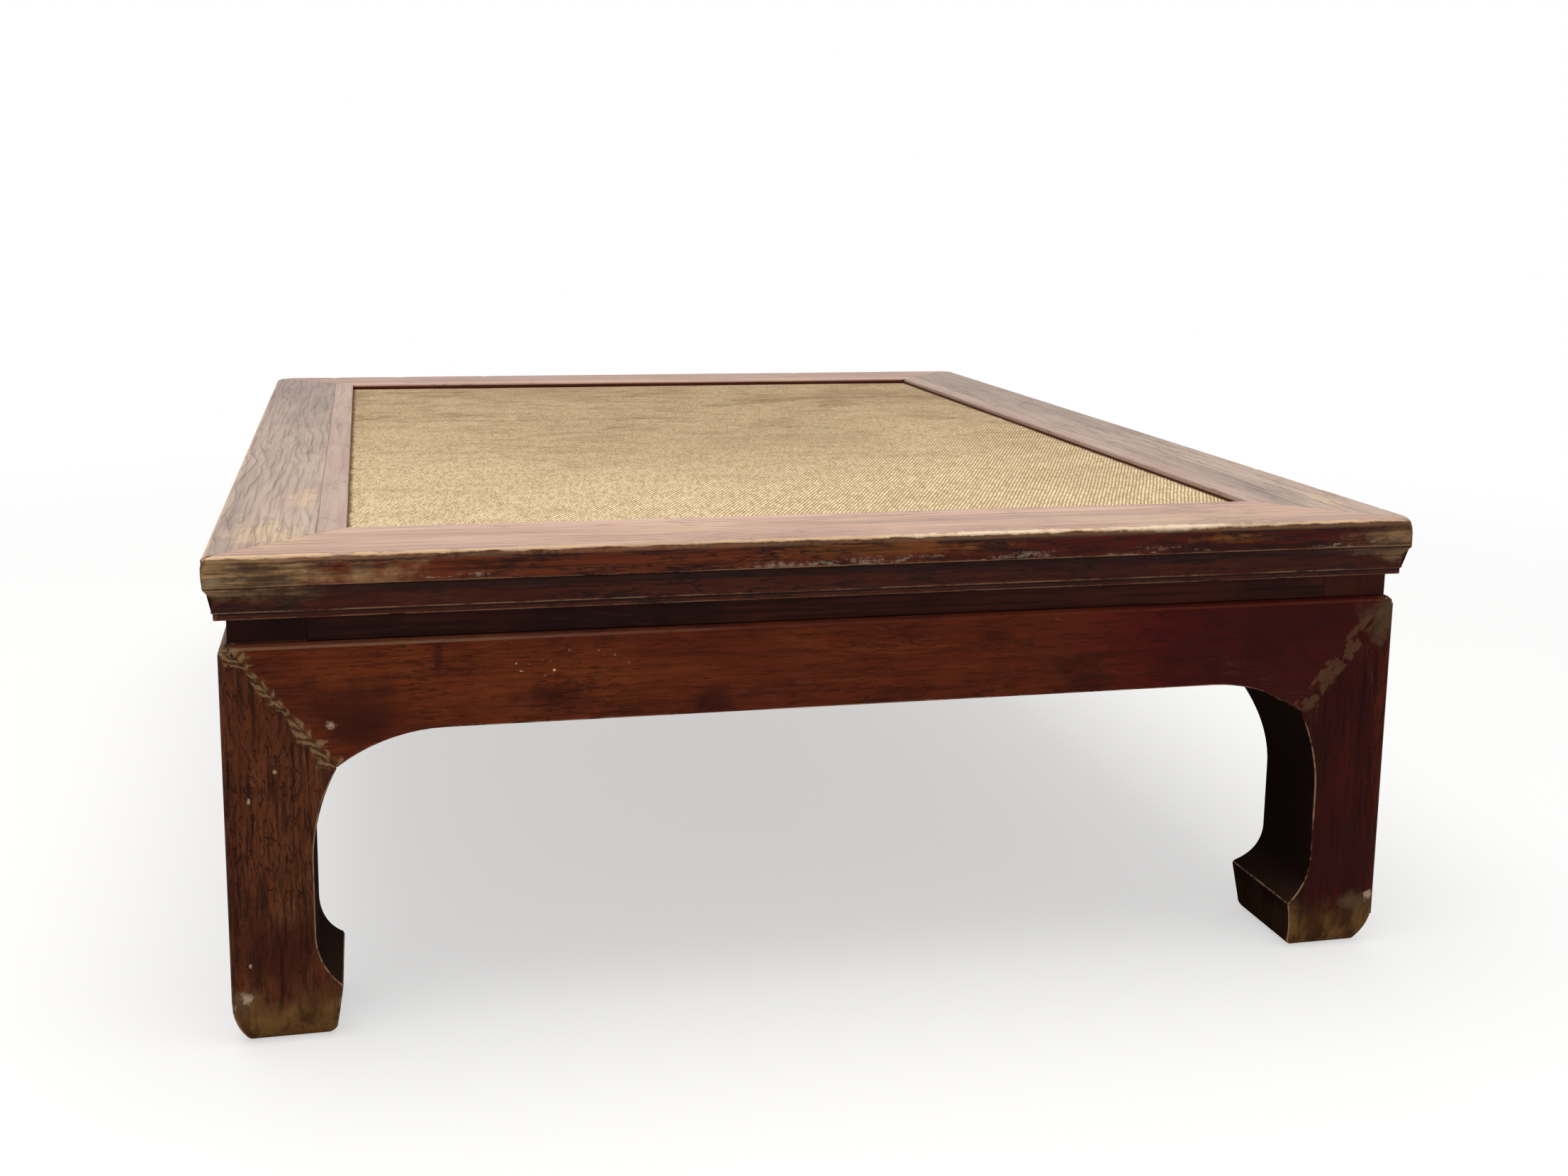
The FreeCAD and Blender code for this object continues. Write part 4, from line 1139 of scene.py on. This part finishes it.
def wovenMat(material):
    # sheet of cane lying a little unevenly on the boards
    look = matShape
    low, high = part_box("woven_mat")
    bm = bmesh.new()
    bmesh.ops.create_grid(bm, x_segments=look.cells[0], y_segments=look.cells[1], size=0.5)
    bmesh.ops.scale(bm, vec=(high.x - low.x, high.y - low.y, 1), verts=bm.verts[:])
    bmesh.ops.translate(bm, vec=(0, 0, high.z - look.low), verts=bm.verts[:])
    for vert in bm.verts:
        vert.co.z += look.swell * noise.noise(vert.co * look.wave)
    bmesh.ops.solidify(bm, geom=bm.faces[:], thickness=look.thick)
    bmesh.ops.recalc_face_normals(bm, faces=bm.faces[:])
    finishPiece(bm, "cane_mat", "woven_mat", material)


stageLook = Look(
    floor=tint(250, 249, 247), floorRough=0.9, floorSpecular=0.1,
    floorZ=-0.0006,  # clear of the soles
    half=30.0, near=0.7, far=2.4, shown=0.55,
    white=(1, 1, 1, 1), sky=0.58,
    lampPower=66.0, lampSize=3.2, lampPlace=(-0.4, -0.5, 2.9),
)


def addStage():
    look = stageLook
    bm = bmesh.new()
    bmesh.ops.create_grid(bm, x_segments=1, y_segments=1, size=look.half)
    bmesh.ops.translate(bm, vec=(0, 0, look.floorZ), verts=bm.verts[:])
    mesh = bpy.data.meshes.new("studioFloor")
    bm.to_mesh(mesh)
    bm.free()
    floor = bpy.data.objects.new("studioFloor", mesh)
    scene.collection.objects.link(floor)
    material, w, shader = newMaterial("paleFloor", look.floorSpecular)
    shader["Base Color"].default_value = look.floor
    shader["Roughness"].default_value = look.floorRough
    made = material.node_tree.nodes
    # whiter to the eye away from the table, so that the floor runs out into the backdrop
    glow = w.node("ShaderNodeEmission", {"Color": look.white, "Strength": 1.0})
    away = w.rise(w.vector("LENGTH", w.point()), look.near, look.far)
    seen = w.times(w.between(away, look.shown, 1.0),
                   w.node("ShaderNodeLightPath").outputs["Is Camera Ray"])
    both = w.node("ShaderNodeMixShader", {0: seen, 1: made["Principled BSDF"].outputs[0],
                                          2: glow.outputs[0]})
    w.feed(made["Material Output"].inputs["Surface"], both.outputs[0])
    mesh.materials.append(material)

    world = bpy.data.worlds.new("paleSky")
    world.use_nodes = True
    scene.world = world
    w = Wiring(world.node_tree)
    sky = world.node_tree.nodes["Background"]
    sky.inputs["Color"].default_value = look.white
    path = w.node("ShaderNodeLightPath").outputs
    shown = w.most(path["Is Camera Ray"], path["Is Glossy Ray"], path["Is Transmission Ray"])
    w.feed(sky.inputs["Strength"], w.between(shown, look.sky, 1.0))

    data = bpy.data.lights.new("softLamp", "AREA")
    data.shape = "DISK"
    data.size = look.lampSize
    data.energy = look.lampPower
    lamp = bpy.data.objects.new("softLamp", data)
    lamp.location = look.lampPlace
    scene.collection.objects.link(lamp)


addCamera()
addStage()
print("camera and stage ready")

solids = solidTree()
sides = (("x", axisX, ("front", "back"), "end_rail_"), ("y", axisY, ("left", "right"), "side_stile_"))
for grain, axis, names, member in sides:
    frameWood = agedFrame("agedFrame" + grain.upper(), grain, railLook if grain == "x" else stileLook)
    battenWood = pinkBatten("pinkBatten" + grain.upper(), grain)
    waistWood = darkWaist("darkWaist" + grain.upper(), grain)
    if grain == "x":
        apronWood = lacquer("apronLacquerX", grain, apronLook, apronMarks)
    else:
        apronWood = lacquer("apronLacquerY", grain, longApronLook)
    for name in names:
        wornFrameMember(member + name, axis, frameWood)
        wornPiece("mat_batten_" + name, axis, battenWood, battenWear, onTop)
        wornPiece("waist_" + name, axis, waistWood, waistWear, waistEdges)
        wornPiece("apron_" + name, axis, apronWood, apronWear, apronEdges)
print("frame, battens, waist and aprons dressed")

legWoods = {"left": lacquer("leftLegLacquer", "z", legLeftLook, leftLegMarks),
            "right": lacquer("rightLegLacquer", "z", legRightLook, rightLegMarks)}
for side, wood in legWoods.items():
    for end in ("front_", "back_"):
        wornPiece("leg_" + end + side, axisZ, wood, legWear, legEdges)
print("legs dressed")

wovenMat(wovenCane("wovenCane"))
boardWood, braceWood = bareWood("bareBoard", "y"), bareWood("bareBrace", "x")
for name, node in nodes.items():
    if name.startswith(("panel_board", "cross_brace", "corner_pegs")):
        wood = boardWood if name.startswith("panel_board") else braceWood
        if not node.data.materials:
            node.data.materials.append(wood)
        for slot in node.material_slots:
            slot.material = wood
print("mat and boards dressed")

bpy.context.view_layer.update()
